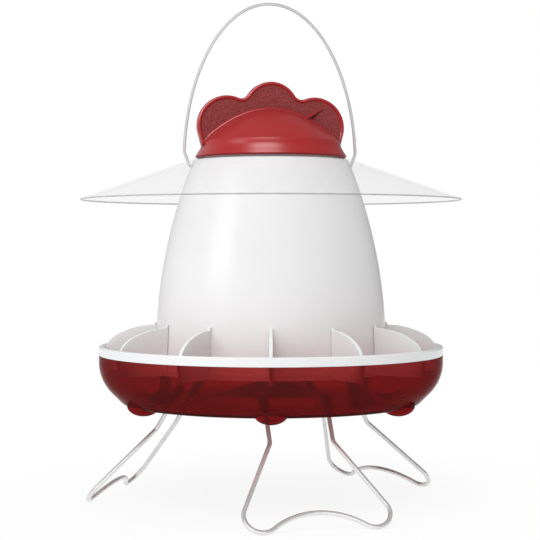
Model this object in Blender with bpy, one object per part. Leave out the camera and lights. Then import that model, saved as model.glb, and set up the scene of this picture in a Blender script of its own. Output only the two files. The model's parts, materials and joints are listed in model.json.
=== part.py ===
"""Hanging and standing poultry feeder: bell hopper, dish with a feed grid, rain shield, comb lid,
carrying bail and three wire legs.

Metres, +Z up. The origin is on the floor under the feeder's axis. The bail's pivot axis and the
comb lie along X, and the front is -Y. An azimuth of 0 degrees is the front, and 90 degrees is +X.
"""
import math

import bmesh
import bpy
from mathutils import Matrix, Vector

MM = 0.001

# Clearances between the pieces
SEAT_GAP = 0.3 * MM
SIDE_GAP = 0.4 * MM
POST_GAP = 0.9 * MM

# Facets of the turned pieces
TURNED_STEPS = 48
SHIELD_STEPS = 64

# Dish: the red pan that holds the feed
PAN_UNDERSIDE_Z = 92.0 * MM
PAN_R = 160.0 * MM
PAN_DEPTH = 45.0 * MM
PAN_WALL = 2.8 * MM
PAN_CURVE_R = 40.0 * MM
PAN_CURVE_LIFT = 39.0 * MM
PAN_CORNER = 2.5 * MM
RIM_TONGUE_HEIGHT = 5.0 * MM
RIM_TONGUE_WALL = 1.5 * MM
SPREADER_R = 66.0 * MM
SPREADER_HEIGHT = 20.0 * MM

# Round feet moulded under the dish
FOOT_COUNT = 6
FOOT_FIRST_AZIMUTH = -15.0
FOOT_INSET = 29.0 * MM
FOOT_R = 15.0 * MM
FOOT_DROP = 5.9 * MM
FOOT_CENTRE_LIFT = 4.0 * MM

# Posts in the dish that carry the hopper and lock it
POST_COUNT = 3
POST_FIRST_AZIMUTH = 35.0
POST_SPAN = 15.0
POST_WALL = 3.0 * MM
POST_ABOVE_SEAT = 12.0 * MM
POST_LEDGE_HEIGHT = 3.0 * MM
POST_LEDGE_SPAN = 14.0
GUSSET_HEIGHT = 12.0 * MM
GUSSET_REACH = 12.0 * MM
GUSSET_WALL = 2.2 * MM
LOCK_SLOT_RISE = 4.0 * MM
LOCK_SLOT_HEIGHT = 3.4 * MM
LOCK_SLOT_SPAN = 10.0
LOCK_SLOT_OVERRUN = 2.0
LOCK_LUG_SPAN = 8.0

# Hopper: a white bell that narrows to a neck
FEED_GAP = 27.4 * MM
HOPPER_FOOT_R = 107.8 * MM
HOPPER_HEIGHT = 195.5 * MM
HOPPER_WALL = 2.2 * MM
BELL_POWER = 2.25
SHOULDER_R = 72.4 * MM
NECK_R = 62.5 * MM
NECK_HEIGHT = 13.3 * MM

# Feed grid: the white ring and its fins
GRID_RING_HEIGHT = 8.2 * MM
GRID_RING_WIDTH = 5.4 * MM
GRID_EDGE_ROUND = 1.4 * MM
FIN_COUNT = 12
FIN_FIRST_AZIMUTH = 15.0
FIN_WALL = 3.2 * MM
FIN_BELOW_RIM = 16.0 * MM
FIN_RISE = 18.9 * MM
FIN_ARCH_FULLNESS = 0.48
FIN_ARCH_LEAN = 0.07
FIN_NIB_RISE = 2.6 * MM
FIN_NIB_WIDTH = 2.4 * MM
COLLAR_WALL = 1.8 * MM
COLLAR_HEIGHT = 4.7 * MM

# Rain shield: a clear cone that the lid clamps on the hopper's shoulder
SHIELD_R = 177.3 * MM
SHIELD_DROP = 38.0 * MM
SHIELD_WALL = 1.4 * MM
SHIELD_SLOT_LENGTH = 40.0 * MM
SHIELD_SLOT_SIDE_GAP = 0.9 * MM

# Lid: a flared cap with a domed crown and a cock's comb to lift it by
LID_FLANGE_R = 70.7 * MM
LID_FLANGE_EDGE = 1.6 * MM
LID_WAIST_R = 65.0 * MM
LID_WAIST_RISE = 12.6 * MM
LID_WALL = 2.2 * MM
SKIRT_FOOT_PULL = (0.35, 0.4)
SKIRT_WAIST_PULL = (0.1, 0.7)
TRENCH_SHARE = 0.6
CROWN_R = 62.7 * MM
CROWN_FOOT_RISE = 16.6 * MM
CROWN_HEIGHT = 28.6 * MM
SPIGOT_WALL = 2.2 * MM
SPIGOT_DEPTH = 9.0 * MM
NECK_TOP_GAP = 1.0 * MM
CROWN_BEAD_R = 1.3 * MM
COMB_THICKNESS = 9.0 * MM
COMB_RIM_WIDTH = 3.2 * MM
COMB_RIM_ROUND = 2.0 * MM
COMB_PANEL_STEP = 0.8 * MM
COMB_PANEL_SINK = 1.0 * MM
COMB_SKIN = 2.0 * MM
COMB_INNER_MARGIN = 4.4 * MM
MID_LOBE_R = 26.5 * MM
MID_LOBE_RISE = 45.1 * MM
SIDE_LOBE_R = 28.3 * MM
SIDE_LOBE_X = 42.4 * MM
SIDE_LOBE_RISE = 29.6 * MM
SIDE_LOBE_END = -18.0
LOBE_VALLEY_R = 8.0 * MM
COMB_HEEL_X = 66.6 * MM
COMB_HEEL_RISE = 10.5 * MM

# Bail: the wire handle, hooked into two holes in the hopper
BAIL_WIRE_R = 1.4 * MM
BAIL_HALF_WIDTH = 83.0 * MM
BAIL_PIVOT_DROP = 6.1 * MM
BAIL_ARCH_LIFT = 3.4 * MM
BAIL_ARCH_RISE = 149.1 * MM
BAIL_KNEE_RISE = 13.4 * MM
BAIL_HOOK_X = 77.9 * MM
BAIL_HOOK_LENGTH = 10.4 * MM
BAIL_HOOK_BEND = 3.2 * MM
BAIL_KNEE_BEND = 8.0 * MM

# Legs: three wire loops plugged into sockets under the dish
LEG_COUNT = 3
LEG_NAMES = ("leg_front", "leg_right", "leg_left")
LEG_WIRE_R = 2.1 * MM
LEG_KNEE_INSET = 57.0 * MM
LEG_KNEE_DROP = 25.0 * MM
LEG_KNEE_HALF_GAP = 28.5 * MM
LEG_KNEE_BEND = 10.0 * MM
LEG_SOCKET_LEAN = 31.0
LEG_SPLAY = 42.0
LEG_FOOT_HALF_GAP = 48.9 * MM
LEG_FOOT_BEND = 15.0 * MM
LEG_ARCH_RISE = 16.5 * MM
SOCKET_WALL = 2.2 * MM
SOCKET_DEPTH = 11.0 * MM
SOCKET_CAP = 2.0 * MM

# Levels and radii that follow from the sizes above
PAN_FLOOR_Z = PAN_UNDERSIDE_Z + PAN_WALL
PAN_RIM_Z = PAN_UNDERSIDE_Z + PAN_DEPTH
FOOT_PITCH_R = PAN_R - FOOT_INSET
LEG_KNEE_R = PAN_R - LEG_KNEE_INSET
HOPPER_FOOT_Z = PAN_FLOOR_Z + FEED_GAP
SHOULDER_Z = HOPPER_FOOT_Z + HOPPER_HEIGHT
NECK_TOP_Z = SHOULDER_Z + NECK_HEIGHT
SHIELD_SEAT_Z = SHOULDER_Z + SEAT_GAP
LID_SEAT_Z = SHIELD_SEAT_Z + SHIELD_WALL + SEAT_GAP
CROWN_TOP_Z = LID_SEAT_Z + CROWN_FOOT_RISE + CROWN_HEIGHT
BAIL_PIVOT_Z = SHOULDER_Z - BAIL_PIVOT_DROP
GRID_BOTTOM_Z = PAN_RIM_Z + SEAT_GAP
GRID_TOP_Z = GRID_BOTTOM_Z + GRID_RING_HEIGHT
FIN_BOTTOM_Z = GRID_BOTTOM_Z - FIN_BELOW_RIM


def remove_scene_objects():
    for item in list(bpy.data.objects):
        bpy.data.objects.remove(item, do_unlink=True)


def plastic(name, colour, roughness, alpha=1.0):
    """A Principled material, see-through where alpha is under 1."""
    finish = bpy.data.materials.new(name)
    finish.use_nodes = True
    shader = finish.node_tree.nodes["Principled BSDF"]
    shader.inputs["Base Color"].default_value = (*colour, 1.0)
    shader.inputs["Roughness"].default_value = roughness
    shader.inputs["Alpha"].default_value = alpha
    finish.diffuse_color = (*colour, alpha)
    return finish


def metal(name, colour, roughness):
    finish = plastic(name, colour, roughness)
    finish.node_tree.nodes["Principled BSDF"].inputs["Metallic"].default_value = 1.0
    return finish


def place(name, mesh, finish=None):
    """Put a mesh into the scene under a name."""
    thing = bpy.data.objects.new(name, mesh)
    bpy.context.scene.collection.objects.link(thing)
    if finish:
        thing.data.materials.clear()
        thing.data.materials.append(finish)
    return thing


def mesh_from(bm, name):
    bmesh.ops.recalc_face_normals(bm, faces=bm.faces)
    mesh = bpy.data.meshes.new(name)
    bm.to_mesh(mesh)
    bm.free()
    return mesh


def compass(radius, azimuth, z=0.0):
    """The point at a radius and an azimuth in degrees, 0 being the front."""
    turn = math.radians(azimuth)
    return Vector((radius * math.sin(turn), -radius * math.cos(turn), z))


def turned_to(azimuth):
    """The rotation that carries something made at the front to an azimuth."""
    return Matrix.Rotation(math.radians(azimuth), 4, "Z")


def arc(centre, radius, start, stop, steps):
    """Points along a circular arc, with angles in degrees from the first axis."""
    angles = [math.radians(start + (stop - start) * i / steps) for i in range(steps + 1)]
    return [(centre[0] + radius * math.cos(a), centre[1] + radius * math.sin(a)) for a in angles]


def turned(profile, steps):
    """A closed profile of (radius, height) points, spun about Z into a closed mesh."""
    bm = bmesh.new()
    verts = [bm.verts.new((r, 0.0, z)) for r, z in profile]
    edges = [bm.edges.new((verts[i - 1], verts[i])) for i in range(len(verts))]
    bmesh.ops.spin(bm, geom=verts + edges, cent=(0, 0, 0), axis=(0, 0, 1),
                   angle=2 * math.pi, steps=steps, use_merge=True)
    bmesh.ops.remove_doubles(bm, verts=bm.verts, dist=1e-6)
    bmesh.ops.dissolve_degenerate(bm, edges=bm.edges, dist=1e-6)
    bmesh.ops.delete(bm, geom=[e for e in bm.edges if e.is_wire], context="EDGES")
    return mesh_from(bm, "turned")


def slab(outline, low_y, high_y):
    """A closed outline of (x, z) points, extruded along Y."""
    bm = bmesh.new()
    face = bm.faces.new([bm.verts.new((x, low_y, z)) for x, z in outline])
    lifted = bmesh.ops.extrude_face_region(bm, geom=[face])
    moved = [item for item in lifted["geom"] if isinstance(item, bmesh.types.BMVert)]
    bmesh.ops.translate(bm, verts=moved, vec=(0, high_y - low_y, 0))
    return mesh_from(bm, "slab")


def sector(inner_r, outer_r, low_z, high_z, azimuth, span, steps=4):
    """A block that curves round the axis, centred on an azimuth."""
    bm = bmesh.new()
    corners = ((inner_r, low_z), (outer_r, low_z), (outer_r, high_z), (inner_r, high_z))
    rings = []
    for i in range(steps + 1):
        turn = azimuth - span / 2 + span * i / steps
        rings.append([bm.verts.new(compass(r, turn, z)) for r, z in corners])
    for near, far in zip(rings, rings[1:]):
        for k in range(4):
            bm.faces.new((near[k - 1], near[k], far[k], far[k - 1]))
    bm.faces.new(rings[0])
    bm.faces.new(rings[-1])
    return mesh_from(bm, "sector")


def rod(start, end, radius, steps=10):
    """A plain cylinder between two points."""
    axis = end - start
    bm = bmesh.new()
    bmesh.ops.create_cone(bm, cap_ends=True, segments=steps, radius1=radius, radius2=radius,
                          depth=axis.length)
    turn = Vector((0, 0, 1)).rotation_difference(axis).to_matrix().to_4x4()
    bmesh.ops.transform(bm, verts=bm.verts, matrix=Matrix.Translation((start + end) / 2) @ turn)
    return mesh_from(bm, "rod")


def trimmed_above(mesh, z):
    """The part of a closed mesh that lies above a level, closed again where it was cut."""
    bm = bmesh.new()
    bm.from_mesh(mesh)
    geom = list(bm.verts) + list(bm.edges) + list(bm.faces)
    bmesh.ops.bisect_plane(bm, geom=geom, plane_co=(0, 0, z), plane_no=(0, 0, 1),
                           clear_inner=True)
    bmesh.ops.holes_fill(bm, edges=[e for e in bm.edges if e.is_boundary])
    return mesh_from(bm, "trimmed")


def ellipsoid(centre, radius, half_height):
    """A round bump, wide in plan and flatter in height."""
    bm = bmesh.new()
    bmesh.ops.create_uvsphere(bm, u_segments=12, v_segments=6, radius=1.0)
    shape = Matrix.Diagonal((radius, radius, half_height, 1.0))
    bmesh.ops.transform(bm, verts=bm.verts, matrix=Matrix.Translation(centre) @ shape)
    return mesh_from(bm, "ellipsoid")


def combine(target, meshes, operation):
    """Join meshes to an object, or cut them out of it, one after another."""
    for mesh in meshes:
        tool = place("tool", mesh)
        step = target.modifiers.new("step", "BOOLEAN")
        step.operation = operation
        step.object = tool
        result = target.evaluated_get(bpy.context.evaluated_depsgraph_get())
        target.data = bpy.data.meshes.new_from_object(result)
        target.modifiers.clear()
        bpy.data.objects.remove(tool, do_unlink=True)


def copies_round(mesh, count, first_azimuth):
    """The same mesh, repeated evenly round the axis."""
    bm = bmesh.new()
    for i in range(count):
        added = bmesh.new()
        added.from_mesh(mesh)
        turn = turned_to(first_azimuth + 360.0 * i / count)
        bmesh.ops.transform(added, verts=added.verts, matrix=turn)
        step = bpy.data.meshes.new("copy")
        added.to_mesh(step)
        added.free()
        bm.from_mesh(step)
    return mesh_from(bm, "copies")


def smooth(thing, angle=35.0):
    thing.data.shade_smooth()
    thing.data.set_sharp_from_angle(angle=math.radians(angle))


def bent_wire(name, points, radius, finish, roundness=2):
    """A round wire with closed ends along a list of points."""
    curve = bpy.data.curves.new(name, "CURVE")
    curve.dimensions = "3D"
    curve.bevel_depth = radius
    curve.bevel_resolution = roundness
    curve.use_fill_caps = True
    curve.resolution_u = 1
    curve.render_resolution_u = 0
    line = curve.splines.new("POLY")
    line.points.add(len(points) - 1)
    for knot, point in zip(line.points, points):
        knot.co = (*point, 1.0)
    if finish:
        curve.materials.append(finish)
    wire = bpy.data.objects.new(name, curve)
    bpy.context.scene.collection.objects.link(wire)
    return wire


def bend(before, corner, after, radius, steps=3):
    """Points of the round bend that replaces a corner between two straight runs."""
    back = (before - corner).normalized()
    ahead = (after - corner).normalized()
    half = back.angle(ahead) / 2
    reach = radius / math.tan(half)
    centre = corner + (back + ahead).normalized() * (radius / math.sin(half))
    start = (corner + back * reach - centre).normalized()
    stop = (corner + ahead * reach - centre).normalized()
    return [centre + radius * start.slerp(stop, i / steps) for i in range(steps + 1)]


def hopper_radius(z):
    """Outer radius of the bell: widest at its foot, drawn in more and more to the shoulder."""
    rise = (z - HOPPER_FOOT_Z) / HOPPER_HEIGHT
    return HOPPER_FOOT_R - (HOPPER_FOOT_R - SHOULDER_R) * rise ** BELL_POWER


def pan_side(inset):
    """The dish's side as (radius, height) points from the floor up, set in by a wall."""
    curve_centre = (PAN_R - PAN_CURVE_R, PAN_UNDERSIDE_Z + PAN_CURVE_LIFT)
    side = arc(curve_centre, PAN_CURVE_R - inset, -45, 0, 4)
    tangent_r, tangent_z = side[0]
    floor = PAN_UNDERSIDE_Z + inset
    corner_r = tangent_r - (tangent_z - floor)
    rounded = [(corner_r - PAN_CORNER, floor), (corner_r + PAN_CORNER / 2, floor + PAN_CORNER / 2)]
    return rounded + side


def socket_axis():
    """The leg socket's line: its knee point and its direction up into the dish."""
    knee = Vector((LEG_KNEE_HALF_GAP, -LEG_KNEE_R, PAN_UNDERSIDE_Z - LEG_KNEE_DROP))
    lean = math.radians(LEG_SOCKET_LEAN)
    return knee, Vector((0, math.sin(lean), math.cos(lean)))


def socket_end():
    """Where a leg's wire stops inside its socket."""
    knee, upward = socket_axis()
    return knee + upward * ((PAN_FLOOR_Z - knee.z + SOCKET_DEPTH) / upward.z)


def both_sides(mesh):
    """A mesh and its mirror image across the plane X = 0."""
    bm = bmesh.new()
    bm.from_mesh(mesh)
    bmesh.ops.mirror(bm, geom=list(bm.verts) + list(bm.edges) + list(bm.faces),
                     axis="X", merge_dist=0.0)
    return mesh_from(bm, "both sides")


def leg_sockets():
    """Blind sockets on the dish's floor, as the bodies to add and the bores to cut."""
    knee, upward = socket_axis()
    end = socket_end()
    bore_r = LEG_WIRE_R + SEAT_GAP
    root = knee + upward * (LEG_KNEE_DROP / 2)
    body = rod(root, end + upward * (SEAT_GAP + SOCKET_CAP), bore_r + SOCKET_WALL)
    body = trimmed_above(body, PAN_UNDERSIDE_Z + PAN_WALL / 2)
    bore = rod(root, end + upward * SEAT_GAP, bore_r)
    bodies = copies_round(both_sides(body), LEG_COUNT, 0.0)
    bores = copies_round(both_sides(bore), LEG_COUNT, 0.0)
    return bodies, bores


def post_radii():
    """Inner and outer radius of the posts, which fit inside the hopper's foot."""
    outer = HOPPER_FOOT_R - HOPPER_WALL - POST_GAP
    return outer - POST_WALL, outer


def hopper_posts():
    """The posts that stand on the dish's floor, each with a ledge and two gussets."""
    inner, outer = post_radii()
    root = PAN_UNDERSIDE_Z + PAN_WALL / 2
    seat = HOPPER_FOOT_Z - SEAT_GAP
    post = sector(inner, outer, root, HOPPER_FOOT_Z + POST_ABOVE_SEAT, 0.0, POST_SPAN)
    ledge = sector(inner + POST_WALL / 2, HOPPER_FOOT_R, seat - POST_LEDGE_HEIGHT, seat,
                   0.0, POST_LEDGE_SPAN)
    toe = outer + GUSSET_REACH
    heel = outer - POST_WALL / 2
    top = PAN_FLOOR_Z + GUSSET_HEIGHT
    rib = [(-heel, root), (-toe, root), (-toe, PAN_FLOOR_Z), (-outer, top), (-heel, top)]
    edge = POST_SPAN / 2 - math.degrees(GUSSET_WALL / outer)
    ribs = []
    for side in (-edge, edge):
        web = slab(rib, -GUSSET_WALL / 2, GUSSET_WALL / 2)
        web.transform(turned_to(side) @ Matrix.Rotation(math.radians(90), 4, "Z"))
        ribs.append(web)
    holder = place("post", post)
    combine(holder, [ledge] + ribs, "UNION")
    slot_z = HOPPER_FOOT_Z + LOCK_SLOT_RISE
    slot_turn = (POST_SPAN - LOCK_SLOT_SPAN + LOCK_SLOT_OVERRUN) / 2
    slot = sector(inner - POST_WALL, outer + POST_WALL, slot_z, slot_z + LOCK_SLOT_HEIGHT,
                  slot_turn, LOCK_SLOT_SPAN + LOCK_SLOT_OVERRUN)
    combine(holder, [slot], "DIFFERENCE")
    post = holder.data
    bpy.data.objects.remove(holder)
    return copies_round(post, POST_COUNT, POST_FIRST_AZIMUTH)


def make_pan(finish):
    """Dish: a bowl with a spreader cone, round feet, posts for the hopper and leg sockets."""
    tongue_r = PAN_R - PAN_WALL + RIM_TONGUE_WALL
    rim_top = PAN_RIM_Z + RIM_TONGUE_HEIGHT
    outside = [(0.0, PAN_UNDERSIDE_Z + SPREADER_HEIGHT), (SPREADER_R, PAN_UNDERSIDE_Z)]
    outside += pan_side(0.0)
    outside += [(PAN_R, PAN_RIM_Z), (tongue_r, PAN_RIM_Z), (tongue_r, rim_top), (0.0, rim_top)]
    pan = place("pan", turned(outside, TURNED_STEPS), finish)

    lifted = PAN_UNDERSIDE_Z + FOOT_CENTRE_LIFT
    depth = FOOT_CENTRE_LIFT + FOOT_DROP
    feet = ellipsoid(compass(FOOT_PITCH_R, 0.0, lifted), FOOT_R, depth)
    dimples = ellipsoid(compass(FOOT_PITCH_R, 0.0, lifted), FOOT_R - PAN_WALL, depth - PAN_WALL)
    combine(pan, [copies_round(feet, FOOT_COUNT, FOOT_FIRST_AZIMUTH)], "UNION")

    hollow = [(0.0, PAN_FLOOR_Z + SPREADER_HEIGHT), (SPREADER_R, PAN_FLOOR_Z)]
    hollow += pan_side(PAN_WALL)
    hollow += [(PAN_R - PAN_WALL, rim_top + PAN_WALL), (0.0, rim_top + PAN_WALL)]
    combine(pan, [turned(hollow, TURNED_STEPS)], "DIFFERENCE")
    combine(pan, [copies_round(dimples, FOOT_COUNT, FOOT_FIRST_AZIMUTH)], "DIFFERENCE")

    sockets, bores = leg_sockets()
    combine(pan, [hopper_posts(), sockets], "UNION")
    combine(pan, [bores], "DIFFERENCE")
    smooth(pan)
    return pan


def make_hopper(finish):
    """Hopper: a thin bell with a shoulder, a neck, two bail holes and three locking lugs."""
    steps = 10
    levels = [HOPPER_FOOT_Z + HOPPER_HEIGHT * i / steps for i in range(steps + 1)]
    outside = [(hopper_radius(z), z) for z in levels]
    outside += [(NECK_R, SHOULDER_Z), (NECK_R, NECK_TOP_Z)]
    neck_bore = NECK_R - HOPPER_WALL
    inner_levels = levels[:-1:2] + [SHOULDER_Z - HOPPER_WALL]
    inside = [(hopper_radius(z) - HOPPER_WALL, z) for z in inner_levels]
    inside += [(neck_bore, SHOULDER_Z - HOPPER_WALL), (neck_bore, NECK_TOP_Z)]
    hopper = place("hopper", turned(outside + inside[::-1], TURNED_STEPS), finish)

    post_inner, post_outer = post_radii()
    slot_z = HOPPER_FOOT_Z + LOCK_SLOT_RISE
    lug_turn = POST_FIRST_AZIMUTH + (POST_SPAN - LOCK_SLOT_SPAN) / 2
    lug = sector(post_inner, HOPPER_FOOT_R - HOPPER_WALL / 2, slot_z + SIDE_GAP,
                 slot_z + LOCK_SLOT_HEIGHT - SIDE_GAP, 0.0, LOCK_LUG_SPAN)
    combine(hopper, [copies_round(lug, POST_COUNT, lug_turn)], "UNION")

    reach = Vector((HOPPER_FOOT_R, 0, 0))
    pivot = Vector((0, 0, BAIL_PIVOT_Z))
    combine(hopper, [rod(pivot - reach, pivot + reach, BAIL_WIRE_R + SEAT_GAP)], "DIFFERENCE")
    smooth(hopper)
    return hopper


def bezier(points, steps):
    """Points along a cubic curve from its two ends and its two handles."""
    a, b, c, d = (Vector(p) for p in points)
    shares = [i / steps for i in range(steps + 1)]
    return [tuple(a * (1 - t) ** 3 + b * (3 * t * (1 - t) ** 2) + c * (3 * t * t * (1 - t)) + d * t ** 3)
            for t in shares]


def fin_outline():
    """One fin seen from the side: foot, outer edge, arched top and the nib at the hopper."""
    rim_inner = PAN_R - GRID_RING_WIDTH
    outer = PAN_R - PAN_WALL - SIDE_GAP
    foot_outer = pan_radius_at(FIN_BOTTOM_Z) - PAN_WALL - 3 * SIDE_GAP
    inner = HOPPER_FOOT_R + SIDE_GAP
    top_z = GRID_TOP_Z + FIN_RISE
    top_inner = hopper_radius(top_z) + SIDE_GAP
    run = rim_inner - top_inner
    start = (rim_inner - FIN_NIB_WIDTH / 3, GRID_TOP_Z - GRID_EDGE_ROUND / 2)
    arch = bezier((start, (rim_inner - FIN_ARCH_LEAN * run, GRID_TOP_Z + FIN_ARCH_FULLNESS * FIN_RISE),
                   (top_inner + FIN_ARCH_FULLNESS * run, top_z),
                   (top_inner + FIN_NIB_WIDTH, top_z)), 6)
    inside_ring = rim_inner + FIN_WALL / 4
    collar_middle = inner + COLLAR_WALL / 2
    collar_top = FIN_BOTTOM_Z + COLLAR_HEIGHT
    outline = [(inner, collar_top - SIDE_GAP), (collar_middle, collar_top - SIDE_GAP),
               (collar_middle, FIN_BOTTOM_Z + SIDE_GAP), (inner + COLLAR_WALL * 2, FIN_BOTTOM_Z)]
    outline += [(foot_outer, FIN_BOTTOM_Z), (outer, GRID_BOTTOM_Z - SIDE_GAP),
                (inside_ring, GRID_BOTTOM_Z + SIDE_GAP)]
    outline += [(inside_ring, start[1])] + arch
    nib_top = top_z + FIN_NIB_RISE
    outline += [(top_inner + FIN_NIB_WIDTH / 2, nib_top), (top_inner, nib_top)]
    outline += [(hopper_radius(GRID_TOP_Z) + SIDE_GAP, GRID_TOP_Z)]
    return outline


def pan_radius_at(z):
    """Outer radius of the dish at a height on its curved side."""
    drop = PAN_UNDERSIDE_Z + PAN_CURVE_LIFT - z
    return PAN_R - PAN_CURVE_R + math.sqrt(PAN_CURVE_R ** 2 - drop ** 2)


def make_feed_grid(finish):
    """Feed grid: a ring over the dish's rim, twelve fins and a collar round the hopper's foot."""
    rim_inner = PAN_R - GRID_RING_WIDTH
    groove_inner = PAN_R - PAN_WALL - SEAT_GAP
    groove_outer = PAN_R - PAN_WALL + RIM_TONGUE_WALL + SEAT_GAP
    groove_top = PAN_RIM_Z + RIM_TONGUE_HEIGHT + SEAT_GAP
    top_in = rim_inner + GRID_EDGE_ROUND
    top_out = PAN_R - GRID_EDGE_ROUND
    top_z = GRID_TOP_Z - GRID_EDGE_ROUND
    profile = [(groove_outer, GRID_BOTTOM_Z), (PAN_R, GRID_BOTTOM_Z)]
    profile += arc((top_out, top_z), GRID_EDGE_ROUND, 0, 90, 2)
    profile += arc((top_in, top_z), GRID_EDGE_ROUND, 90, 180, 2)
    profile += [(rim_inner, GRID_BOTTOM_Z), (groove_inner, GRID_BOTTOM_Z),
                (groove_inner, groove_top), (groove_outer, groove_top)]
    grid = place("feed_grid", turned(profile, TURNED_STEPS), finish)

    collar_r = HOPPER_FOOT_R + SIDE_GAP
    collar_top = FIN_BOTTOM_Z + COLLAR_HEIGHT
    collar = [(collar_r, FIN_BOTTOM_Z), (collar_r + COLLAR_WALL, FIN_BOTTOM_Z),
              (collar_r + COLLAR_WALL, collar_top), (collar_r, collar_top)]
    fin = slab(fin_outline(), -FIN_WALL / 2, FIN_WALL / 2)
    fin.transform(Matrix.Rotation(math.radians(-90), 4, "Z"))
    fins = copies_round(fin, FIN_COUNT, FIN_FIRST_AZIMUTH)
    combine(grid, [fins, turned(collar, TURNED_STEPS)], "UNION")
    smooth(grid)
    return grid


def make_rain_shield(finish):
    """Rain shield: a flat seat round the neck, a straight cone and two slots for the bail."""
    seat_inner = NECK_R + SIDE_GAP
    top = SHIELD_SEAT_Z + SHIELD_WALL
    rim_top = top - SHIELD_DROP
    slope = math.atan2(SHIELD_DROP, SHIELD_R - SHOULDER_R)
    under = SHIELD_WALL * math.tan(slope / 2)
    foot = Vector((SHIELD_R, rim_top)) - SHIELD_WALL * Vector((math.sin(slope), math.cos(slope)))
    profile = [(seat_inner, SHIELD_SEAT_Z), (seat_inner, top), (SHOULDER_R, top), (SHIELD_R, rim_top),
               tuple(foot), (SHOULDER_R - under, SHIELD_SEAT_Z)]
    shield = place("rain_shield", turned(profile, SHIELD_STEPS), finish)

    inner_x = BAIL_HOOK_X - BAIL_WIRE_R / 2
    outer_x = BAIL_HALF_WIDTH + BAIL_WIRE_R + SHIELD_SLOT_SIDE_GAP
    half_width = (outer_x - inner_x) / 2
    straight = SHIELD_SLOT_LENGTH / 2 - half_width
    outline = arc((0.0, straight), half_width, 0, 180, 6) + arc((0.0, -straight), half_width, 180, 360, 6)
    bm = bmesh.new()
    face = bm.faces.new([bm.verts.new((inner_x + half_width + x, y, rim_top)) for x, y in outline])
    lifted = bmesh.ops.extrude_face_region(bm, geom=[face])
    moved = [item for item in lifted["geom"] if isinstance(item, bmesh.types.BMVert)]
    bmesh.ops.translate(bm, verts=moved, vec=(0, 0, SHIELD_DROP * 2))
    combine(shield, [both_sides(mesh_from(bm, "slot"))], "DIFFERENCE")
    smooth(shield)
    return shield


def valley_centre():
    """Centre of the round valley that touches the middle lobe and a side lobe from outside."""
    mid = Vector((0.0, LID_SEAT_Z + MID_LOBE_RISE))
    side = Vector((SIDE_LOBE_X, LID_SEAT_Z + SIDE_LOBE_RISE))
    along = side - mid
    far_mid = MID_LOBE_R + LOBE_VALLEY_R
    far_side = SIDE_LOBE_R + LOBE_VALLEY_R
    share = (far_mid ** 2 - far_side ** 2 + along.length_squared) / (2 * along.length)
    off = math.sqrt(far_mid ** 2 - share ** 2)
    ahead = along.normalized()
    return mid, side, mid + ahead * share + Vector((-ahead.y, ahead.x)) * off


def heading(start, end):
    """Direction from one point to another, in degrees."""
    return math.degrees(math.atan2(end[1] - start[1], end[0] - start[0]))


def comb_outline(inset=0.0, low_z=LID_SEAT_Z + COMB_HEEL_RISE):
    """The cock's comb as (x, z) points: three lobes with round valleys between them."""
    mid, side, valley = valley_centre()
    heel = (COMB_HEEL_X - inset, low_z)
    outer = arc(side, SIDE_LOBE_R - inset, SIDE_LOBE_END, heading(side, valley), 8)
    dip = arc(valley, LOBE_VALLEY_R + inset, heading(valley, side), heading(valley, mid), 3)
    top = arc(mid, MID_LOBE_R - inset, heading(mid, valley), 90, 3)
    half = [heel] + outer + dip[1:-1] + top
    return half + [(-x, z) for x, z in half[-2::-1]]


def crown_z(radius):
    """Height of the domed crown, a parabola that falls to its foot."""
    return CROWN_TOP_Z - CROWN_HEIGHT * (radius / CROWN_R) ** 2


def make_comb():
    """The comb plate: a rounded rim round a sunk panel on both faces."""
    half = COMB_THICKNESS / 2
    bm = bmesh.new()
    bm.from_mesh(slab(comb_outline(), -half, half))
    bm.normal_update()
    walls = [f for f in bm.faces if abs(f.normal.y) > 0.99]
    rims = [e for f in walls for e in f.edges]
    bmesh.ops.bevel(bm, geom=rims, offset=COMB_RIM_ROUND, segments=2, profile=0.5, affect="EDGES")
    bm.normal_update()
    walls = [f for f in bm.faces if abs(f.normal.y) > 0.99 and f.calc_area() > COMB_THICKNESS ** 2]
    bmesh.ops.inset_region(bm, faces=walls, thickness=COMB_RIM_WIDTH - COMB_RIM_ROUND)
    bmesh.ops.inset_region(bm, faces=walls, thickness=COMB_PANEL_STEP, depth=-COMB_PANEL_SINK)
    return mesh_from(bm, "comb")


def crown_bead(side):
    """The bead where the crown's arc meets the comb's panel, on one face."""
    y = side * (COMB_THICKNESS / 2 - COMB_PANEL_SINK / 2)
    steps = 16
    reach = CROWN_R - CROWN_BEAD_R
    xs = [reach * (2 * i / steps - 1) for i in range(steps + 1)]
    line = [(x, y, crown_z(abs(x)) + CROWN_BEAD_R / 4) for x in xs]
    bead = bent_wire("bead", line, CROWN_BEAD_R, None, 1)
    result = bead.evaluated_get(bpy.context.evaluated_depsgraph_get())
    bm = bmesh.new()
    bm.from_mesh(bpy.data.meshes.new_from_object(result))
    bmesh.ops.remove_doubles(bm, verts=bm.verts, dist=1e-6)
    bpy.data.objects.remove(bead)
    return mesh_from(bm, "bead")


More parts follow.
